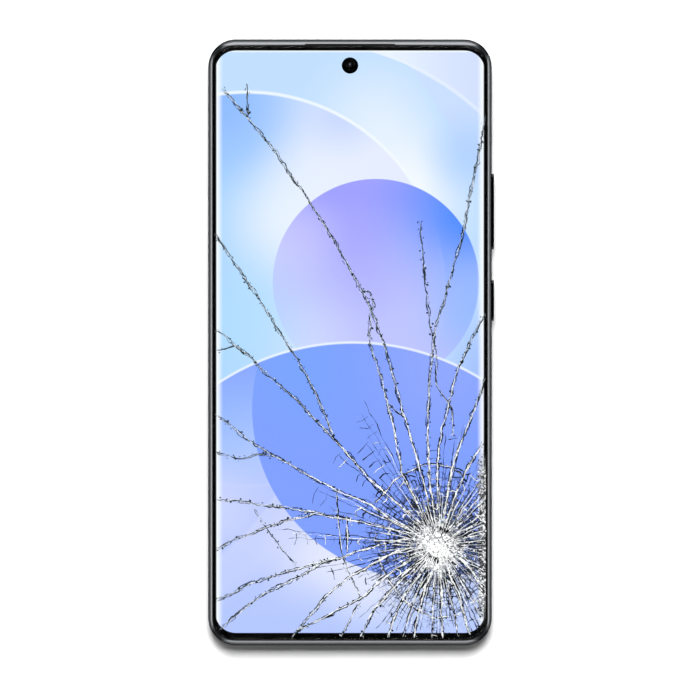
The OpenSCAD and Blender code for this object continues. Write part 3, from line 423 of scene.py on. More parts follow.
def phosphor(graph, place):
    """Flash diodes: yellow phosphor squares with a darker grid between them."""
    x, y, z = graph.split(place)
    grid = (graph.smooth(graph.math("PINGPONG", x + 1, 0.5 * MM), 0.02 * MM, 0.07 * MM)
            * graph.smooth(graph.math("PINGPONG", y + 1, 0.5 * MM), 0.02 * MM, 0.07 * MM))
    return {"Base Color": graph.mix(grid, (0.35, 0.28, 0.06), (0.90, 0.78, 0.28)), "Roughness": 0.4,
            "Normal": graph.bump(grid, 0.05 * MM)}


finishes.update({
    "frame_metal": finish("blasted_aluminium", blasted_aluminium),
    "trim_metal": metal("camera_trim_metal", (0.035, 0.037, 0.04), (0.06, 0.062, 0.066), 0.3, grain=6000),
    "ring_metal": finish("turned_ring", turned_ring),
    "rear_glass": finish("satin_back", satin_back),
    "lens_glass": finish("tinted_cover", tinted_cover),
    "screen_glass": finish("clear_pane", clear_pane),
    "flash_lens": finish("flash_lens", clear_pane),
    "flash_phosphor": finish("flash_phosphor", phosphor),
})
print(len(finishes), "finishes so far")

# %% [markdown]
# ## The lit picture
# The display gives its own light. Its picture is a few large circles in soft blues, each one
# a smooth step in the distance from its centre, over slow gradients. Along the bent sides and
# the top end a painted highlight is added: a pale band that stands for the light which the
# glass's bent edges reflect.

# %% The lit picture


def lit_picture(graph, place):
    x, y, z = graph.split(graph.stretch(place, (1000, 1000, 1000)))

    def away(cx, cy):
        dx, dy = x - cx, y - cy
        return graph.math("SQRT", dx * dx + dy * dy)

    def inside(distance, radius, soft=0.12):
        return graph.smooth(distance, radius + soft, radius - soft)

    def glow(cx, cy, radius):
        return graph.smooth(away(cx, cy), radius, 0)

    def layer(share, under, *colour):
        return graph.mix(share, under, srgb(*colour))

    # sky behind the circles, lighter to the right of the middle
    sky = graph.node("ShaderNodeValToRGB", {"stops": [
        (0.0, srgb(188, 211, 252)), (0.5, srgb(212, 229, 253)), (0.68, srgb(232, 241, 254)),
        (1.0, srgb(206, 220, 252))]}, {0: graph.smooth(x, -40, 40)})["Color"]
    outer = away(-13.9, 8.7)
    sky = layer(inside(outer, 71.5) * graph.smooth(x, -6, 8), sky, 199, 219, 252)
    sky = layer(graph.smooth(outer, 71.0, 71.5) * inside(outer, 72.2, 0.3) * 0.6, sky, 232, 241, 255)
    inner = away(-100, -16.1)
    right = inside(inner, 146.6, 0.2) * inside(outer, 71.5)
    sky = layer(right, sky, 190, 220, 252)
    sky = layer(right * glow(14, 41, 24), sky, 244, 248, 254)
    sky = layer(right * glow(7, 58, 24) * 0.65, sky, 236, 243, 254)
    sky = layer(graph.smooth(y, 20, -10) * graph.smooth(x, 20, 36), sky, 158, 188, 252)
    sky = layer(glow(32, 50, 16) * 0.8, sky, 170, 204, 252)
    # upper left circle, pale towards its lower right, with a bright rim
    left = away(-27.5, 14.2)
    veil = layer(graph.smooth(x, -36, 4), sky, 226, 233, 253)
    veil = layer(graph.smooth(x, -8, -42), veil, 166, 210, 252)
    veil = layer(glow(-35, 66, 34) * 0.85, veil, 132, 178, 254)
    veil = layer(glow(-6, 44, 22) * 0.7, veil, 230, 236, 253)
    veil = layer(glow(-16, 32, 24) * 0.8, veil, 234, 242, 253)
    veil = layer(glow(-28, 6, 26) * 0.7, veil, 176, 220, 252)
    veil = layer(glow(-2, 62, 16) * 0.75, veil, 186, 206, 252)
    sky = graph.mix(inside(left, 52.3), sky, veil)
    sky = layer(graph.smooth(left, 51.9, 52.4) * inside(left, 53.0, 0.2) * 0.85, sky, 240, 247, 255)
    # ball in the middle, lavender to strong blue, fading out below
    ball = away(6.9, 16.1)
    body = layer(graph.smooth(y, 20, 40), sky, 156, 160, 252)
    body = layer(graph.smooth(y, 42, 10) * 0.9, body, 182, 188, 251)
    body = layer(glow(2, 28, 28) * 0.75, body, 152, 150, 251)
    body = layer(glow(31, 34, 30), body, 70, 136, 254)
    body = layer(glow(-14, 28, 16) * 0.5, body, 196, 192, 253)
    body = layer(glow(33, 8, 20) * 0.7, body, 132, 180, 254)
    fade = 1 - graph.smooth(y, 28, -6) * graph.smooth(x, 8, -22) * 0.85
    sky = graph.mix(inside(ball, 27.5) * fade, sky, body)
    # large lower circle with a thin bright rim, and the deeper blue circle over it
    low = away(0.8, -65.2)
    field = layer(graph.smooth(y, -10, -46), sky, 186, 200, 252)
    field = layer(graph.smooth(y, -46, 0), field, 131, 161, 253)
    field = layer(glow(-6, -58, 22) * 0.95, field, 226, 230, 253)
    field = layer(glow(-36, -44, 16) * 0.7, field, 205, 213, 252)
    field = layer(graph.smooth(y, -56, -80), field, 176, 196, 253)
    field = layer(glow(22, -66, 26) * 0.5, field, 196, 214, 252)
    field = layer(glow(5, -64, 17) * 0.7, field, 232, 236, 254)
    field = layer(glow(-34, -63, 14) * 0.7, field, 170, 192, 252)
    deep = away(19.2, -17.8)
    blue = layer(glow(-14, -8, 24) * 0.8, srgb(122, 155, 252), 114, 160, 249)
    blue = layer(glow(24, -6, 28) * 0.6, blue, 148, 168, 250)
    field = graph.mix(inside(deep, 45.3), field, blue)
    sky = graph.mix(inside(low, 65.0), sky, field)
    sky = layer(graph.smooth(low, 64.7, 65.0) * inside(low, 65.5, 0.2) * 0.8, sky, 236, 244, 255)
    # a faint arc low on the left, outside the deeper blue circle
    faint = away(-75, -6)
    faint = graph.smooth(faint, 64.8, 65.2) * inside(faint, 75, 3) * graph.smooth(deep, 45.2, 45.5)
    sky = layer(faint * graph.smooth(y, -26, -34) * 0.35, sky, 214, 220, 254)
    # grain, so that the wide gradients don't band
    sky = layer(graph.noise(place, 2600, 2.0) * 0.06, sky, 255, 255, 255)
    # painted highlight: a pale band along the bent sides and a thin line at the top, standing for light that
    # the glass's curved edges reflect
    side = graph.smooth(graph.math("ABSOLUTE", x), 33.7, 35.5) * 0.9
    edge = graph.smooth(y, 77.2, 77.7) * 0.8
    sky = layer(graph.math("MAXIMUM", side, edge), sky, 246, 251, 255)
    sky = layer(graph.smooth(graph.math("ABSOLUTE", x), 35.45, 35.8), sky, 0, 0, 0)
    return {"Base Color": (0.0, 0.0, 0.0), "Roughness": 0.2, "Specular IOR Level": 0.1,
            "Emission Color": sky, "Emission Strength": 1.06}


finishes["screen"] = finish("lit_picture", lit_picture)
for part in frame["record"]["subparts"]:
    for holder in nodes[part["node"]].material_slots:
        holder.material = finishes[part["material_slot"]]

# %% [markdown]
# ## Table and room
# A plain pale table, and a room that is bright near the horizon and dark overhead. The dark
# ceiling is what the flat screen mirrors, so its black border stays black.

# %% Table and room
TABLE_REACH = 3.0


def table_top(graph, place):
    fleck = graph.noise(place, 60, 4.0)
    return {"Base Color": graph.mix(fleck, (0.80, 0.80, 0.80), (0.84, 0.84, 0.84)), "Roughness": 0.7}


def mesh_object(name, points, faces, material):
    data = bpy.data.meshes.new(name)
    data.from_pydata([tuple(p) for p in points], [], faces)
    data.materials.append(material)
    return add_object(name, data)


corners = [(x * TABLE_REACH, y * TABLE_REACH, 0) for x, y in ((-1, -1), (1, -1), (1, 1), (-1, 1))]
table = mesh_object("table_top", corners, [(0, 1, 2, 3)], finish("table_top", table_top))

room = bpy.data.worlds.new("room")
scene.world = room
room.use_nodes = True
room.node_tree.nodes.clear()
air = Graph(room.node_tree)
height = air.split(air.node("ShaderNodeTexCoord")["Generated"])[2]
walls = air.node("ShaderNodeValToRGB", {"stops": [
    (0.0, (0.85, 0.85, 0.85)), (0.25, (0.5, 0.5, 0.5)), (0.7, (0.16, 0.16, 0.16)),
    (0.93, (0.0, 0.0, 0.0))]}, {0: height})["Color"]
air.node("ShaderNodeOutputWorld", None,
         {"Surface": air.node("ShaderNodeBackground", None, {"Color": walls, "Strength": 1.0})[0]})
print("room ready")

# %% [markdown]
# ## Where the glass surface lies
# Everything on the screen follows the glass: flat in the middle, bent down over the long
# sides, and rounded at its short ends. One formula gives its height, and a geometry tree can
# use the same formula as a script can.

# %% Height of the glass
glass_low, glass_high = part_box("cover_glass")
BEND_WIDTH, BEND_DROP = 3.15 * MM, 0.9 * MM
bend_radius = (BEND_WIDTH ** 2 + BEND_DROP ** 2) / (2 * BEND_DROP)
flat_x = glass_high.x - BEND_WIDTH
IMPACT = Vector((23.6 * MM, -54 * MM, glass_high.z))


def glass_height(x, y):
    """Height of the glass over a point, as a number."""
    side = max(abs(x) - flat_x, 0)
    bent = screen_top - bend_radius + math.sqrt(max(bend_radius ** 2 - side ** 2, 0))
    end = max(BEND_DROP - min(glass_high.y - y, y - glass_low.y), 0)
    return min(bent, screen_top - BEND_DROP + math.sqrt(max(BEND_DROP ** 2 - end ** 2, 0)))


def glass_height_nodes(graph, x, y):
    """The same height as nodes."""
    side = graph.math("MAXIMUM", graph.math("ABSOLUTE", x) - flat_x, 0.0)
    bent = screen_top - bend_radius + graph.math(
        "SQRT", graph.math("MAXIMUM", bend_radius ** 2 - side * side, 0.0))
    near = graph.math("MINIMUM", glass_high.y - y, y - glass_low.y)
    end = graph.math("MAXIMUM", BEND_DROP - near, 0.0)
    ends = screen_top - BEND_DROP + graph.math(
        "SQRT", graph.math("MAXIMUM", BEND_DROP ** 2 - end * end, 0.0))
    return graph.math("MINIMUM", bent, ends)


print("glass top", round(glass_height(0, 0) / MM, 3), "edge", round(glass_height(glass_high.x, 0) / MM, 3))

# %% [markdown]
# ## Loose shards
# Tempered cover glass breaks into plates that a film holds in place. Each plate of the CAD
# glass is one closed shell, so the shells are found and each is tilted by a hair: the nearer
# the impact, the more, and a long plate less, so that its ends stay down. The tilts are what
# make broken glass glitter from a low angle.

# %% Loose shards
TILT_FAR, TILT_NEAR = 0.06, 0.5  # degrees
TILT_REACH, LONG_SHARD = 60 * MM, 12 * MM


def shells(bm):
    """The separate shells of a mesh, as lists of vertices."""
    left, found = set(bm.verts), []
    while left:
        todo, shell = [left.pop()], []
        while todo:
            at = todo.pop()
            shell.append(at)
            for edge in at.link_edges:
                other = edge.other_vert(at)
                if other in left:
                    left.discard(other)
                    todo.append(other)
        found.append(shell)
    return sorted(found, key=lambda s: tuple(round(c, 6) for c in min((v.co for v in s), key=tuple)))


def sharpen(bm, degrees=30):
    for face in bm.faces:
        face.smooth = True
    for edge in bm.edges:
        edge.smooth = edge.calc_face_angle(0) < math.radians(degrees)


dice = random.Random(5)
bm = bmesh.new()
bm.from_mesh(nodes["cover_glass"].data)
bmesh.ops.remove_doubles(bm, verts=bm.verts, dist=1e-6)
shard_shells = shells(bm)
for shell in shard_shells:
    middle = sum((v.co for v in shell), Vector()) / len(shell)
    reach = max((v.co - middle).length for v in shell)
    near = 1 - min((middle - IMPACT).length / TILT_REACH, 1)
    tilt = math.radians(TILT_FAR + (TILT_NEAR - TILT_FAR) * near) * min(LONG_SHARD / reach, 1)
    axis = Vector((dice.uniform(-1, 1), dice.uniform(-1, 1), 0)).normalized()
    turn = Matrix.Translation(middle) @ Matrix.Rotation(tilt, 4, axis) @ Matrix.Translation(-middle)
    bmesh.ops.transform(bm, matrix=turn, verts=shell)
sharpen(bm)
shard_data = bpy.data.meshes.new("glass_shards")
bm.to_mesh(shard_data)
bm.free()
shard_data.materials.append(finishes["screen_glass"])
shards = add_object("glass_shards", shard_data)
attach(shards, "phone")
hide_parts("cover_glass")
print(len(shard_shells), "shards")

# %% [markdown]
# ## Crack paths
# A crack starts at the impact and wanders to the edge, bending a little each time it meets a
# weak spot. Each path is a short list of points in millimetres, from the rim inwards. Far
# from the impact a crack is a pair of dark hairlines; near it the edges are crushed and
# scatter light, so they turn white.

# %% Crack paths
MAIN_CRACKS = [
    [(-34.1, 67.8), (-27.2, 59.8), (-20.3, 51.3), (-11.2, 38.2), (-5.9, 29.7), (-2.4, 23.8), (3.2, 13.7),
     (6.9, 6.0), (10.1, -4.2), (13.1, -14.6), (14.7, -19.9), (16, -25), (18.1, -31.9), (21.3, -43.4)],
    [(5.3, 8), (5.3, -0.1), (6.1, -2.6), (8.3, -9.5), (10.1, -16.7), (11.5, -21.8), (12.5, -27.9),
     (14.1, -35.1), (18.5, -44)],
    [(-36, 28.9), (-29.9, 19.8), (-24.3, 11.6), (-18.7, 2.5), (-13.9, -4.7), (-9.3, -13.2), (-6.4, -20.2),
     (-4.3, -25)],
    [(-35.7, 3.6), (-30.9, -0.6), (-26.1, -4.2), (-23.2, -7.6), (-17.6, -12.4), (-14.4, -15.1),
     (-9.3, -20.7), (-4.3, -25.6), (0.8, -31.5), (4.8, -36.2), (9.6, -40.2), (16.5, -46.3)],
    [(-35.5, -19.8), (-32.3, -21.8), (-25.2, -27.4), (-19.6, -30.6), (-14.4, -33.5), (-10.4, -35.9),
     (-4.3, -39.1), (5.9, -43.5), (10.9, -47.4), (16.5, -50)],
    [(-35.5, -42), (-30.4, -42), (-25.2, -43.2), (-16.5, -44.2), (-9.3, -45.5), (-4.3, -46.6),
     (0.8, -47.4), (10.9, -49.8), (18.1, -51.1)],
    [(-35.5, -55.4), (-32.3, -53.2), (-22.7, -49.5), (-17.1, -47.6), (-9.3, -45.8)],
    [(-35.5, -68.8), (-31.7, -67.1), (-26.7, -64.4), (-19.6, -62), (-13.1, -60.2), (-6.9, -58.3),
     (-1.7, -57.1), (5.9, -54.6), (10.9, -53.2), (16.5, -52.4)],
    [(-34.6, -76.6), (-32.8, -75), (-28.8, -71.4), (-24.3, -67.9), (-19.2, -65.2), (-13.1, -62.3),
     (-7.5, -58.8), (-1.7, -57.1)],
    [(-15.5, -78.6), (-13.1, -75.9), (-6.4, -67.6), (-0.3, -62.6), (4.8, -59.9), (10.9, -56.4),
     (16.5, -54.6)],
    [(-14.4, -77), (-9.3, -74.6), (-2.1, -70.8), (2.7, -68.4), (9.1, -62.8), (17.6, -56.7)],
    [(2.9, -78.4), (5.9, -71.9), (10.4, -66.8), (15.6, -60.7), (20.3, -57.1)],
    [(10, -78.6), (13.1, -70.3), (16, -65.2), (20.8, -59.1)],
    [(17.1, -78.8), (18.1, -72.4), (20.3, -65.2), (22.1, -60.7)],
    [(24.8, -78.8), (24.3, -72.4), (24.3, -65.2), (24, -60)],
    [(32, -78), (30.9, -74.6), (29.3, -67.9), (25.9, -60.2)],
    [(35.8, -65.8), (31.5, -59.6), (28, -56.8)],
    [(35.5, -26.8), (31.5, -33), (28.3, -40.2), (26, -47)],
    [(36, -9.5), (33.1, -18.3), (29.9, -25.9), (27.3, -33), (25.9, -40.2), (25, -46)],
    [(36, 7.6), (33.1, 2.5), (30.4, -3.6), (28.8, -7.1), (26.4, -16.2), (24.3, -23.9), (23.7, -27.9),
     (23.2, -35.1), (23.6, -44)],
    [(36, 60.4), (33.9, 47.6), (32, 39.4), (30.9, 33.7), (29.9, 28.1), (27.7, 20.4), (24.8, 10.2),
     (22.7, 3.6), (21.9, -2.6), (21.1, -12.2), (20.8, -19.8), (20.8, -27.4), (21.1, -35.1), (22.4, -46)],
]
SIDE_CRACKS = [
    [(-27.5, 69), (-27.2, 59.8)],
    [(3.2, 13.7), (5.4, 13.7), (6.4, 9.7), (5.3, 8)],
    [(10.1, -16.7), (14.7, -19.9)],
    [(-35.5, -2.3), (-30.9, -1.2), (-26.1, -4.2)],
    [(-35.7, -29.5), (-29.3, -31.1), (-24.8, -29.8), (-19.6, -30.6)],
    [(-25.6, -44.4), (-22.7, -49.2), (-20.3, -52.4), (-17.6, -55.9), (-14.4, -59.6)],
    [(-2.4, -78.4), (0.3, -73.5), (2.7, -69.2)],
    [(14.1, -78.6), (17.6, -67.4), (21.3, -61.2)],
    [(21.9, -78.8), (22.1, -70), (22.7, -61.2)],
    [(28.8, -78.4), (26.4, -65.2), (25, -60)],
    [(34.9, -73.5), (33.1, -69.2), (28.8, -62.3)],
    [(36, -52.7), (30, -53.6)], [(36, -47.4), (29.5, -51)], [(36, -42), (28.5, -49)],
    [(18.7, 32.4), (19.5, 21.4), (20.5, 12.6), (21.3, 6.5), (21.9, 1.4)],
    [(21.9, 1.4), (23.2, -3.4), (22.9, -11.1), (25.3, -15.1), (27.3, -17.8), (27.3, -25)],
    [(6.9, -42.7), (9.7, -39.6), (11.5, -37.1), (14.1, -35.3), (17.6, -33.5), (20.8, -32.4), (23.7, -32.6),
     (27.3, -33.5), (30.4, -35.6)],
    [(-3.5, -40.2), (-3.2, -46.8), (-2.1, -56.2), (-0.8, -60.7), (2.9, -67.9)],
    [(-0.8, -46.3), (-0.5, -56.2)],
    [(7.5, -57.5), (9.6, -62.3), (11.5, -65.2), (14.1, -68.4), (18.1, -71.4), (22.1, -73.5), (26.4, -73.2)],
]
print(len(MAIN_CRACKS), "main cracks,", len(SIDE_CRACKS), "side cracks")

# %% [markdown]
# ## Finishes of the cracks
# A crack is a gap with torn edges. Where it is narrow it swallows light and looks almost
# black; where it is crushed it is full of splinters and looks like snow. Two finishes cover
# this, and each one drifts to grey by the distance from the impact.

# %% Finishes of the cracks


def crack_tone(name, near_colour, far_colour, rough, shine):
    def draw(graph, place):
        x, y, z = graph.split(place)
        dx, dy = x - IMPACT.x, y - IMPACT.y
        far = graph.smooth(graph.math("SQRT", dx * dx + dy * dy), 0.012, 0.06)
        flake = graph.noise(place, 1500, 3.0)
        pair = [graph.mix(graph.smooth(flake, 0.35, 0.65), a, b) for a, b in (near_colour, far_colour)]
        return {"Base Color": graph.mix(far, *pair), "Roughness": rough + flake * 0.2,
                "Specular IOR Level": shine,
                "Normal": graph.bump(flake, 0.03 * MM)}
    return finish(name, draw)


dark_crack = crack_tone("dark_crack", [(0.001, 0.002, 0.003), (0.012, 0.015, 0.018)],
                        [(0.001, 0.004, 0.004), (0.030, 0.045, 0.045)], 0.4, 0.05)
white_crack = crack_tone("white_crack", [(0.50, 0.52, 0.53), (0.90, 0.91, 0.91)],
                         [(0.25, 0.29, 0.33), (0.60, 0.66, 0.74)], 0.5, 0.3)
print("crack finishes ready")

# %% [markdown]
# ## Strands that follow a path
# One geometry tree draws every crack: it resamples the path, copies it into strands, lets
# noise push each strand sideways, sweeps a small diamond section along it and lays the
# result on the glass. Working from the path keeps the strands editable by moving a point.

# %% Strand tree


def new_tree(name, inputs):
    """A geometry tree with named inputs, its Graph, and its group input's outputs."""
    tree = bpy.data.node_groups.new(name, "GeometryNodeTree")
    tree.interface.new_socket("Geometry", in_out="INPUT", socket_type="NodeSocketGeometry")
    for label, kind in inputs.items():
        tree.interface.new_socket(label, in_out="INPUT", socket_type="NodeSocket" + kind)
    tree.interface.new_socket("Geometry", in_out="OUTPUT", socket_type="NodeSocketGeometry")
    graph = Graph(tree)
    return tree, graph, graph.node("NodeGroupInput")


def close_tree(graph, geometry, material):
    whole = graph.node("GeometryNodeRealizeInstances", None, {"Geometry": geometry})["Geometry"]
    painted = graph.node("GeometryNodeSetMaterial", None, {"Geometry": whole, "Material": material})
    graph.node("NodeGroupOutput", None, {"Geometry": painted["Geometry"]})


def lay_on_glass(graph, geometry, lift, flatten):
    """Moves a mesh drawn at screen height down onto the bent glass."""
    x, y, z = graph.split(graph.node("GeometryNodeInputPosition")["Position"])
    laid = glass_height_nodes(graph, x, y) + lift + (z - screen_top) * flatten
    return graph.node("GeometryNodeSetPosition", None,
                      {"Geometry": geometry, "Position": graph.join(x, y, laid)})["Geometry"]


strand_tree, graph, given = new_tree("crack_strands", {
    "Step": "Float", "Strands": "Int", "Wander": "Float", "Grain": "Float", "Jitter": "Float",
    "Lift": "Float", "Seed": "Float", "Material": "Material"})
curve = graph.node("GeometryNodeMeshToCurve", None, {"Mesh": given["Geometry"]})["Curve"]
curve = graph.node("GeometryNodeResampleCurve", {"mode": "LENGTH"},
                   {"Curve": curve, "Length": given["Step"]})["Curve"]
copies = graph.node("GeometryNodeDuplicateElements", {"domain": "SPLINE"},
                    {"Geometry": curve, "Amount": given["Strands"]})
turn_of = copies["Duplicate Index"] * 5.7 + given["Seed"]
place = graph.node("GeometryNodeInputPosition")["Position"]


def shove(scale, size, shift):
    """Sideways noise of one size, as x and y."""
    colour = graph.node("ShaderNodeTexNoise", {"noise_dimensions": "4D"}, {
        "Vector": place, "W": turn_of + shift, "Scale": scale, "Detail": 1.0})["Color"]
    r, g, b = graph.split(colour)
    return (r - 0.5) * size, (g - 0.5) * size


slow, quick = shove(given["Grain"], given["Wander"], 0.0), shove(1300.0, given["Jitter"], 3.1)
curve = graph.node("GeometryNodeSetPosition", None, {
    "Geometry": copies["Geometry"],
    "Offset": graph.join(slow[0] + quick[0], slow[1] + quick[1], 0.0)})["Geometry"]
width = graph.node("GeometryNodeInputNamedAttribute", {"data_type": "FLOAT"}, {"Name": "width"})["Attribute"]
swell = graph.node("ShaderNodeTexNoise", {"noise_dimensions": "4D"}, {
    "Vector": place, "W": turn_of + 9.0, "Scale": 420.0, "Detail": 2.0})["Fac"]
along = graph.node("GeometryNodeSplineParameter")["Factor"]
tip = graph.math("MINIMUM", graph.math("MINIMUM", along, 1 - along) * 30 + 0.2, 1.0)
swollen = graph.math("MAXIMUM", swell * 5.0 - 1.7, 0.3)
section = graph.node("GeometryNodeCurvePrimitiveCircle", {"mode": "RADIUS"},
                     {"Resolution": 4, "Radius": 1.0})["Curve"]
swept = graph.node("GeometryNodeCurveToMesh", None, {
    "Curve": curve, "Profile Curve": section, "Scale": width * 0.5 * swollen * tip,
    "Fill Caps": True})["Mesh"]
close_tree(graph, lay_on_glass(graph, swept, given["Lift"], 0.3), given["Material"])
print("strand tree:", len(strand_tree.nodes), "nodes")

# %% [markdown]
# ## Using a tree
# A modifier's inputs are set by their identifiers before it is first evaluated, then its
# result is copied out as a plain mesh, which is the piece that stays.

# %% Using a tree


def path_mesh(name, paths):
    """Open lines from lists of (x mm, y mm, width mm)."""
    points, edges, widths = [], [], []
    for path in paths:
        start = len(points)
        points += [(x * MM, y * MM, screen_top) for x, y, w in path]
        widths += [w * MM for x, y, w in path]
        edges += [(start + i, start + i + 1) for i in range(len(path) - 1)]
    data = bpy.data.meshes.new(name)
    data.from_pydata(points, edges, [])
    data.attributes.new("width", "FLOAT", "POINT").data.foreach_set("value", widths)
    return data


def grow(name, source, tree, values, body="phone"):
    """Runs a tree on a source mesh and keeps the result as a plain piece on a body."""
    holder = add_object(name + "_source", source)
    modifier = holder.modifiers.new("grow", "NODES")
    modifier.node_group = tree
    for item in tree.interface.items_tree:
        if item.in_out == "INPUT" and item.name in values:
            modifier[item.identifier] = values[item.name]
    settled = holder.evaluated_get(bpy.context.evaluated_depsgraph_get())
    data = bpy.data.meshes.new_from_object(settled)
    holder.modifiers.remove(modifier)
    bpy.data.objects.remove(holder)
    for spare in [a.name for a in data.attributes if a.name in ("width", "dense")]:
        data.attributes.remove(data.attributes[spare])
    piece = add_object(name, data)
    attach(piece, body)
    print(name, len(data.polygons), "faces,", [round(v / MM, 1) for v in piece.dimensions], "mm")
    return piece


def widen(paths, near, far):
    """Gives each point of a path its width: near at the impact, far at 60 mm."""
    out = []
    for path in paths:
        shares = [min(math.hypot(x - IMPACT.x / MM, y - IMPACT.y / MM) / 60, 1) for x, y in path]
        out.append([(x, y, near + (far - near) * s) for (x, y), s in zip(path, shares)])
    return out


def strands(name, paths, material, **values):
    base = {"Step": 0.45 * MM, "Strands": 1, "Wander": 0.9 * MM, "Grain": 160.0, "Jitter": 0.25 * MM,
            "Lift": 0.0, "Seed": 1.0, "Material": material}
    labels = {key.capitalize(): value for key, value in values.items()}
    return grow(name, path_mesh(name, paths), strand_tree, {**base, **labels})


print("growing tools ready")

# %% [markdown]
# ## The main cracks
# Every main crack is four dark strands that cross and part, with two pale strands between
# them where the glass has splintered. A side crack has two dark strands and one pale one.

# %% Main cracks
strands("cracks_dark", widen(MAIN_CRACKS, 0.26, 0.18), dark_crack, strands=4, seed=2.0,
        lift=0.01 * MM, wander=2.3 * MM, grain=330.0, jitter=0.8 * MM, step=0.3 * MM)
strands("cracks_light", widen(MAIN_CRACKS, 0.42, 0.12), white_crack, strands=2, seed=31.0,
        lift=0.03 * MM, wander=1.4 * MM, grain=300.0, jitter=0.5 * MM)
strands("side_cracks_dark", widen(SIDE_CRACKS, 0.28, 0.26), dark_crack, strands=2, seed=12.0,
        wander=1.6 * MM, grain=350.0, jitter=0.5 * MM)
strands("side_cracks_light", widen(SIDE_CRACKS, 0.34, 0.08), white_crack, seed=44.0,
        wander=0.9 * MM, lift=0.03 * MM)

# %% [markdown]
# ## The fine web
# Round the impact the cracks are too many to draw by hand, but they follow a rule: spokes
# run outwards, and short rungs join neighbouring spokes, further apart as they go out. A
# seeded script draws them, so the web is the same each time.

# %% Fine web
dice = random.Random(11)
cx, cy = IMPACT.x / MM, IMPACT.y / MM
LIMIT_X, LIMIT_Y = glass_high.x / MM - 0.4, glass_low.y / MM + 0.5
SPOKES = 60


def on_glass(x, y):
    return abs(x) < LIMIT_X and y > LIMIT_Y


def polar(radius, angle):
    return cx + radius * math.cos(angle), cy + radius * math.sin(angle)


def spoke(angle, first, last, width, kink=0.05):
    """One wandering spoke, cut off where it leaves the glass."""
    path, radius = [], first
    while radius < last:
        x, y = polar(radius, angle + dice.gauss(0, kink) * 4 / (radius + 4))
        if not on_glass(x, y):
            break
        path.append((x, y, width * (1 - 0.6 * radius / last)))
        radius += dice.uniform(1.2, 2.6)
    return path


white_spokes, dark_spokes, rungs = [], [], []
spoke_angles = [math.tau * (i + dice.uniform(-0.35, 0.35)) / SPOKES for i in range(SPOKES)]
spoke_ends = [19 + min(dice.expovariate(1 / 9), 22) for _ in spoke_angles]
for angle, end in zip(spoke_angles, spoke_ends):
    white_spokes.append(spoke(angle, dice.uniform(2, 6), end * dice.uniform(0.6, 1.0), 0.31))
    dark_spokes.append(spoke(angle + 0.03, 3, end, 0.34))
    dark_spokes.append(spoke(angle - 0.02, 7, end * 1.1, 0.30))
next_angles = spoke_angles[1:] + [spoke_angles[0] + math.tau]
for angle, next_angle, end in zip(spoke_angles, next_angles, spoke_ends):
    radius = dice.uniform(4, 6)
    while radius < end:
        ladder = [polar(radius + dice.gauss(0, 0.35), angle + (next_angle - angle) * share)
                  for share in (0, 0.5, 1)]
        width = dice.uniform(0.2, 0.4) * (1 - radius / 80)
        if dice.random() > 0.05 + radius / 100 and all(on_glass(x, y) for x, y in ladder):
            rungs.append([(x, y, width) for x, y in ladder])
        radius += dice.uniform(0.7, 1.7) + radius * 0.04
white_spokes = [p for p in white_spokes if len(p) > 1]
dark_spokes = [p for p in dark_spokes if len(p) > 1]
fine = dict(step=0.3 * MM, wander=0.35 * MM, grain=500.0, jitter=0.15 * MM)
strands("web_dark", dark_spokes + rungs, dark_crack, seed=5.0, lift=0.01 * MM, **fine)
strands("web_light", white_spokes + rungs[::4], white_crack, seed=8.0, lift=0.05 * MM, **fine)

# %% [markdown]
# ## Crazed film
# Between the cracks the glass is crazed far finer than any strand. A film just above it
# carries this as cells in log-polar space, so they grow with the distance from the impact,
# and turns to packed white powder in the middle. It is clear wherever it draws nothing.

# %% Crazed film


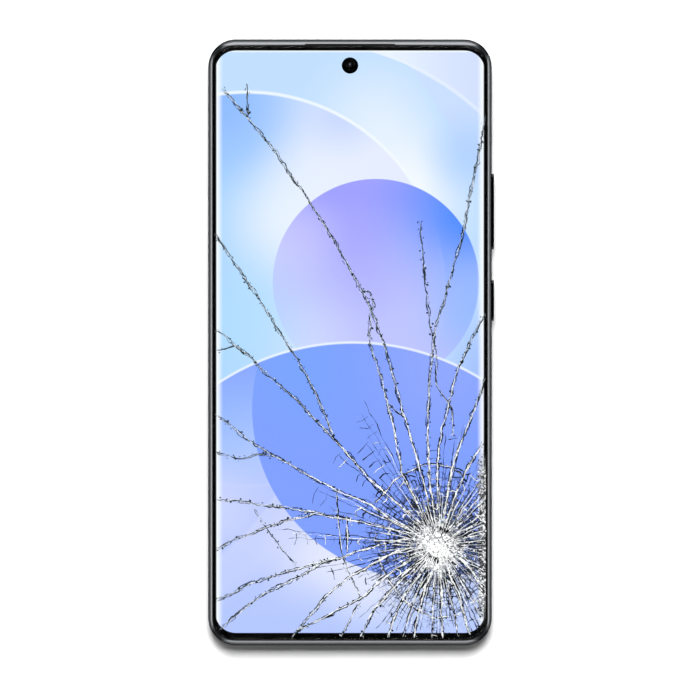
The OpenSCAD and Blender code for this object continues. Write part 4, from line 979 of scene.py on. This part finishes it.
def crazing(graph, place):
    """Cells and streaks round the impact, powder just below it, grit along the bent edge."""
    x, y, z = graph.split(place)
    dx, dy = (x - IMPACT.x) * 1000, (y - IMPACT.y) * 1000
    far = graph.math("SQRT", dx * dx + dy * dy) + 0.05
    depth = graph.math("LOGARITHM", far, math.e)
    warp = graph.noise(place, 300, 3.0)

    def wheel(spin, reach):
        return graph.join(dx / far * spin + warp * 0.9, dy / far * spin, depth * reach + warp * 1.4)

    cells = graph.node("ShaderNodeTexVoronoi", {"feature": "DISTANCE_TO_EDGE"},
                       {"Vector": wheel(9.5, 9.5), "Scale": 1.0})["Distance"]
    thin = cells * far / 9.5
    patchy = graph.noise(place, 240, 3.0)
    web = graph.smooth(thin, 0.2, 0.08) * graph.smooth(far + patchy * 14, 31, 15)
    streak = graph.smooth(graph.noise(wheel(22, 0.7), 1.0, 2.0), 0.55, 0.66)
    streak = streak * graph.smooth(far + patchy * 12, 22, 12)
    shade = graph.smooth(graph.noise(place, 480, 5.0), 0.42, 0.50) * graph.smooth(far + patchy * 8, 19, 10)
    low = y * 1000 + 57
    off = (x - 0.0232) * 1000
    blob = graph.math("SQRT", off * off + low * low * 0.55)
    powder = graph.smooth(blob + patchy * 3, 5.6, 3.8)
    edge = graph.smooth(x * 1000 + graph.noise(place, 700, 4.0) * 7, 37.0, 38.6)
    edge = edge * graph.smooth(graph.math("ABSOLUTE", y * 1000 + 52), 25, 14)
    crumb = graph.math("MAXIMUM", edge, graph.smooth(far + graph.noise(place, 900, 4.0) * 9, 12.5, 8.5))
    flake = graph.smooth(graph.noise(place, 1700, 4.0), 0.40, 0.60)
    dark = graph.mix(flake, (0.001, 0.002, 0.004), (0.03, 0.035, 0.04))
    pale = graph.mix(flake, (0.20, 0.21, 0.22), (0.90, 0.91, 0.91))
    grit = edge * graph.smooth(graph.noise(place, 1000, 3.0), 0.40, 0.56)
    pale = graph.mix(grit, pale, (0.05, 0.055, 0.06))
    white = graph.mix(graph.noise(place, 2500, 3.0), (0.50, 0.51, 0.52), (0.93, 0.93, 0.93))
    tone = graph.mix(graph.math("MAXIMUM", streak, crumb), dark, pale)
    cover = graph.math("MAXIMUM", graph.math("MAXIMUM", web, streak),
                       graph.math("MAXIMUM", shade * 0.85, graph.math("MAXIMUM", crumb, powder)))
    return {"Base Color": graph.mix(powder, tone, white), "Roughness": 0.6, "Specular IOR Level": 0.1,
            "Alpha": cover, "Normal": graph.bump(flake, 0.05 * MM)}


SPANS, TURNS = 30, 96
FILM_HOLE, FILM_REACH, FILM_LIFT = 0.3, 27, 0.03 * MM
points, faces = [], []
for i in range(SPANS + 1):
    for j in range(TURNS):
        x, y = polar(FILM_HOLE + FILM_REACH * i / SPANS, math.tau * j / TURNS)
        x, y = max(min(x, LIMIT_X), -LIMIT_X) * MM, max(y, LIMIT_Y) * MM
        points.append((x, y, glass_height(x, y) + FILM_LIFT))
for i in range(SPANS):
    for j in range(TURNS):
        ring = [i * TURNS + j, (i + 1) * TURNS + j, (i + 1) * TURNS + (j + 1) % TURNS,
                i * TURNS + (j + 1) % TURNS]
        across = (Vector(points[ring[2]]) - Vector(points[ring[0]])).cross(
            Vector(points[ring[3]]) - Vector(points[ring[1]]))
        if across.length > 1e-9:
            faces.append(ring)
faces.append(list(range(TURNS)))
film = mesh_object("crazed_film", points, faces, finish("crazing", crazing))
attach(film, "phone")
print("crazed film", len(faces), "faces")

# %% [markdown]
# ## Splinters and crushed glass
# Splinters are tiny wedges. A second tree scatters one wedge over a patch of faces, turns
# and sizes each copy at random and lays it on the glass. The patch decides where: a disc at
# the impact, a strip along the bent edge beside it, and thin strips along the cracks.

# %% Splinter tree
scatter_tree, graph, given = new_tree("splinters", {
    "Density": "Float", "Smallest": "Float", "Largest": "Float", "Lift": "Float", "Seed": "Int",
    "Material": "Material"})
dense = graph.node("GeometryNodeInputNamedAttribute", {"data_type": "FLOAT"}, {"Name": "dense"})["Attribute"]
spots = graph.node("GeometryNodeDistributePointsOnFaces", {"distribute_method": "RANDOM"}, {
    "Mesh": given["Geometry"], "Density": dense * given["Density"], "Seed": given["Seed"]})["Points"]
wedge = graph.node("GeometryNodeMeshCone", None, {
    "Vertices": 4, "Side Segments": 1, "Fill Segments": 1, "Radius Top": 0.25, "Radius Bottom": 0.6,
    "Depth": 0.35})["Mesh"]


def roll(low, high, salt):
    return graph.node("FunctionNodeRandomValue", {"data_type": "FLOAT"}, {
        "Min": low, "Max": high, "Seed": given["Seed"] + salt})["Value"]


size = roll(given["Smallest"], given["Largest"], 1)
size = size * roll(0.4, 1.0, 5)
pieces = graph.node("GeometryNodeInstanceOnPoints", None, {
    "Points": spots, "Instance": wedge,
    "Rotation": graph.node("FunctionNodeEulerToRotation", None, {"Euler": graph.join(
        roll(-0.5, 0.5, 2), roll(-0.5, 0.5, 3), roll(0.0, math.tau, 4))})["Rotation"],
    "Scale": graph.join(size, size * roll(0.25, 0.9, 6), size)})["Instances"]
loose = graph.node("GeometryNodeRealizeInstances", None, {"Geometry": pieces})["Geometry"]
close_tree(graph, lay_on_glass(graph, loose, given["Lift"], 0.4), given["Material"])
print("splinter tree:", len(scatter_tree.nodes), "nodes")

# %% [markdown]
# ## Splinter patches
# Where glass has crumbled: rings round the impact, the right edge of the screen beside it
# and the trails along the long cracks. Each patch is a flat sheet that says how densely the
# splinters lie, so the heaps thin out where real ones do.

# %% Splinter patches


def patch(name, quads, density):
    """Quads of (x mm, y mm) corners at screen height, with one density each."""
    data = bpy.data.meshes.new(name)
    data.from_pydata([(x * MM, y * MM, screen_top) for q in quads for x, y in q], [],
                     [tuple(range(4 * i, 4 * i + 4)) for i in range(len(quads))])
    data.attributes.new("dense", "FLOAT", "POINT").data.foreach_set(
        "value", [d for d in density for _ in range(4)])
    return data


def ring_patch(name, radii, weight):
    """Rings round the impact, kept to the glass."""
    quads, density = [], []
    for low, high in zip(radii, radii[1:]):
        for i in range(36):
            a, b = math.tau * i / 36, math.tau * (i + 1) / 36
            quad = [polar(low, a), polar(high, a), polar(high, b), polar(low, b)]
            if all(on_glass(x, y) for x, y in quad):
                quads.append(quad)
                density.append(weight((low + high) / 2))
    return patch(name, quads, density)


def trail_patch(name, paths, width):
    """A thin strip along each path."""
    quads, density = [], []
    for path in paths:
        for (ax, ay), (bx, by) in zip(path, path[1:]):
            length = math.hypot(bx - ax, by - ay)
            nx, ny = (ay - by) / length * width / 2, (bx - ax) / length * width / 2
            quads.append([(ax - nx, ay - ny), (bx - nx, by - ny), (bx + nx, by + ny), (ax + nx, ay + ny)])
            density.append(1.0)
    return patch(name, quads, density)


def splinters(name, source, material, density, smallest, largest, seed, lift=0.0):
    return grow(name, source, scatter_tree, {
        "Density": density, "Smallest": smallest * MM, "Largest": largest * MM, "Lift": lift * MM,
        "Seed": seed, "Material": material})


crush = ring_patch("crush", [0.3, 2, 4, 6, 8, 11], lambda r: max(1 - r / 11, 0.05))
splinters("crushed_glass", crush, white_crack, 4e6, 0.25, 0.7, 3, 0.03)
speck = ring_patch("speck", [0.3, 3, 6, 9, 13, 18], lambda r: max(1 - r / 19, 0.05))
splinters("crush_specks", speck, dark_crack, 3.0e6, 0.25, 0.65, 4, 0.05)
edge_rows = range(-74, -30, 3)
edge_strip = patch("edge", [[(34.2, y), (36.2, y), (36.2, y + 3), (34.2, y + 3)] for y in edge_rows],
                   [1 - abs(y + 52) / 40 for y in edge_rows])
splinters("edge_splinters", edge_strip, white_crack, 2e6, 0.25, 0.7, 6, 0.02)
splinters("edge_specks", edge_strip.copy(), dark_crack, 2.2e6, 0.3, 0.9, 7, 0.04)
trail = trail_patch("trail", MAIN_CRACKS + SIDE_CRACKS, 1.3)
splinters("crack_chips", trail, dark_crack, 9e5, 0.3, 0.95, 9, 0.02)
splinters("crack_glints", trail.copy(), white_crack, 1.8e5, 0.2, 0.6, 10, 0.04)

# %% [markdown]
# ## Turned lens parts
# Lens parts are turned on a lathe or moulded in turned tools, so each is one profile spun
# round its axis: black stepped baffles that stop stray light, glass domes behind them, a
# printed mask under each cover, and the ribbed lens that spreads the flash.

# %% Turned lens parts


def lathe(name, centre, profile, slot, body="phone", material=None, around=48):
    """Spins a closed profile of (radius mm, height mm) round a vertical axis."""
    bm = bmesh.new()
    rows = []
    for r, z in profile:
        if r == 0:
            rows.append([bm.verts.new((centre[0] * MM, centre[1] * MM, z * MM))] * around)
        else:
            rows.append([bm.verts.new((
                (centre[0] + r * math.cos(math.tau * i / around)) * MM,
                (centre[1] + r * math.sin(math.tau * i / around)) * MM, z * MM)) for i in range(around)])
    for row, after in zip(rows, rows[1:] + (rows[:1] if profile[0][0] else [])):
        for i in range(around):
            corners = list(dict.fromkeys([row[i], row[(i + 1) % around], after[(i + 1) % around], after[i]]))
            if len(corners) > 2:
                bm.faces.new(corners)
    bmesh.ops.recalc_face_normals(bm, faces=bm.faces)
    sharpen(bm, 35)
    data = bpy.data.meshes.new(name)
    bm.to_mesh(data)
    bm.free()
    data.materials.append(material or finishes[slot])
    piece = add_object(name, data)
    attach(piece, body)
    return piece


def dome(r, face, sag, thick, steps=6):
    """Profile of a dome whose crown lies at height face; sag points away from the viewer."""
    crown = [(r * i / steps, face + sag * (i / steps) ** 2) for i in range(steps + 1)]
    return [(0, face)] + crown[1:] + [(r, face + sag + thick), (0, face + sag + thick)]


def baffle(outer, inner, face, deep, steps=4):
    """Profile of a stepped funnel, open in the middle."""
    line = []
    for i in range(steps):
        r = outer + (inner - outer) * i / steps
        line += [(r, face + deep * i / steps), (r, face + deep * (i + 1) / steps)]
    return line + [(inner, face + deep), (inner, face + deep + 0.05), (outer + 0.02, face + deep + 0.05)]


coated = finish("coated_lens", lambda graph, place: {
    "Base Color": graph.mix(graph.noise(place, 260, 1.0), (0.004, 0.003, 0.012), (0.012, 0.006, 0.03)),
    "Roughness": 0.03, "Coat Weight": 1.0, "Specular IOR Level": 0.8})
MAIN_SPOT, WIDE_SPOT, MACRO_SPOT, FLASH_SPOT = (24.5, 66.5), (24.5, 49.5), (9, 66.5), (9, 49.5)
main_lo, wide_lo, macro_lo = [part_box(part)[0] for part in ("focus_barrel", "wide_camera", "macro_camera")]
CAMERAS = [("main", MAIN_SPOT, 2.85, main_lo.z / MM, 0.5, "focus_lens"),
           ("wide", WIDE_SPOT, 2.6, wide_lo.z / MM, 0.4, "phone"),
           ("macro", MACRO_SPOT, 1.3, macro_lo.z / MM, 0.4, "phone")]
for label, spot, r, face, deep, body in CAMERAS:
    lathe(label + "_baffle", spot, baffle(r * 0.97, r * 0.66, face + 0.02, deep - 0.1), "camera_body", body)
    lathe(label + "_lens", spot, dome(r * 0.60, face + 0.12, deep * 0.4, 0.1), "camera_body", body, coated)
for spot, r in ((MAIN_SPOT, 4.6), (WIDE_SPOT, 4.6), (MACRO_SPOT, 2.5)):
    lathe("cover_mask", spot, [(r, 0.78), (r, 0.83), (r * 0.76, 0.83), (r * 0.76, 0.78)], "black_gasket")
ribs = [(rib * 0.2, 1.18 + (0.12 if rib % 2 else 0.0)) for rib in range(1, 11)]
lathe("flash_ribs", FLASH_SPOT, [(0, 1.22)] + ribs + [(2.0, 1.5), (0, 1.5)], "flash_lens")
front_lo, front_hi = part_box("front_camera")
face, spot = front_hi.z / MM, (0, (front_lo.y + front_hi.y) / 2 / MM)
lathe("selfie_mask", spot, [(1.55, face + 0.01), (1.5, face + 0.05), (0.6, face + 0.03), (0.6, face + 0.01)],
      "black_gasket")
crown = [(0.07 * i, face + 0.15 - 0.0039 * i * i) for i in range(7)]
lathe("selfie_lens", spot, crown + [(0.42, face + 0.005), (0, face + 0.005)], "sensor_black",
      material=coated, around=32)
print("turned parts made")

# %% [markdown]
# ## Woven sieves and gold contacts
# The earpiece slit and the loudspeaker are covered by woven wire. One tree turns a grid into
# wires, each row pushed up and down in turn as a weave is. Another tree sets one thin block
# as a contact on each given spot, for the two rows on the tongue of the charging port.

# %% Woven sieves and gold contacts
weave_tree, graph, given = new_tree("woven_wire", {
    "Length": "Float", "Breadth": "Float", "Columns": "Int", "Rows": "Int", "Centre": "Vector",
    "Turn": "Vector", "Wire": "Float", "Material": "Material"})
sheet = graph.node("GeometryNodeMeshGrid", None, {
    "Size X": given["Length"], "Size Y": given["Breadth"], "Vertices X": given["Columns"],
    "Vertices Y": given["Rows"]})["Mesh"]
order = graph.node("GeometryNodeInputIndex")["Index"]
up = graph.math("PINGPONG", order, 1.0) - 0.5
sheet = graph.node("GeometryNodeSetPosition", None, {
    "Geometry": sheet, "Offset": graph.join(0.0, 0.0, up * given["Wire"])})["Geometry"]
wires = graph.node("GeometryNodeMeshToCurve", None, {"Mesh": sheet})["Curve"]
section = graph.node("GeometryNodeCurvePrimitiveCircle", {"mode": "RADIUS"},
                     {"Resolution": 4, "Radius": 1.0})["Curve"]
wires = graph.node("GeometryNodeCurveToMesh", None, {
    "Curve": wires, "Profile Curve": section, "Scale": given["Wire"], "Fill Caps": True})["Mesh"]
wires = graph.node("GeometryNodeTransform", None, {
    "Geometry": wires, "Translation": given["Centre"],
    "Rotation": graph.node("FunctionNodeEulerToRotation", None, {"Euler": given["Turn"]})["Rotation"]})
close_tree(graph, wires["Geometry"], given["Material"])
print("weave tree:", len(weave_tree.nodes), "nodes")

ear_lo, ear_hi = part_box("earpiece_mesh")
grow("earpiece_weave", bpy.data.meshes.new("none"), weave_tree, {
    "Length": ear_hi.x - ear_lo.x - 0.2 * MM, "Breadth": 0.3 * MM, "Columns": 120, "Rows": 4,
    "Centre": Vector((0, (ear_lo.y + ear_hi.y) / 2, ear_hi.z + 0.05 * MM)), "Turn": Vector((0, 0, 0)),
    "Wire": 0.025 * MM, "Material": finishes["mesh_black"]})
grille_lo, grille_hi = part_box("speaker_mesh")
grow("speaker_weave", bpy.data.meshes.new("none"), weave_tree, {
    "Length": grille_hi.x - grille_lo.x - 0.3 * MM, "Breadth": grille_hi.z - grille_lo.z - 0.3 * MM,
    "Columns": 70, "Rows": 9,
    "Centre": Vector(((grille_lo.x + grille_hi.x) / 2, grille_lo.y - 0.07 * MM,
                      (grille_lo.z + grille_hi.z) / 2)),
    "Turn": Vector((math.pi / 2, 0, 0)), "Wire": 0.035 * MM, "Material": finishes["mesh_black"]})

contact_tree, graph, given = new_tree("contacts", {"Size": "Vector", "Material": "Material"})
pad = graph.node("GeometryNodeMeshCube", None, {"Size": given["Size"]})["Mesh"]
pads = graph.node("GeometryNodeInstanceOnPoints", None, {
    "Points": given["Geometry"], "Instance": pad})["Instances"]
close_tree(graph, pads, given["Material"])
print("contact tree:", len(contact_tree.nodes), "nodes")
port_lo, port_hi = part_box("usb_c_port")
port_z = (port_lo.z + port_hi.z) / 2
spots = bpy.data.meshes.new("spots")
spots.from_pydata([((i - 5.5) * 0.5 * MM, -77.9 * MM, port_z + side * 0.36 * MM)
                   for i in range(12) for side in (-1, 1)], [], [])
grow("port_contacts", spots, contact_tree, {
    "Size": Vector((0.26, 3.4, 0.03)) * MM, "Material": finishes["gold_contact"]})
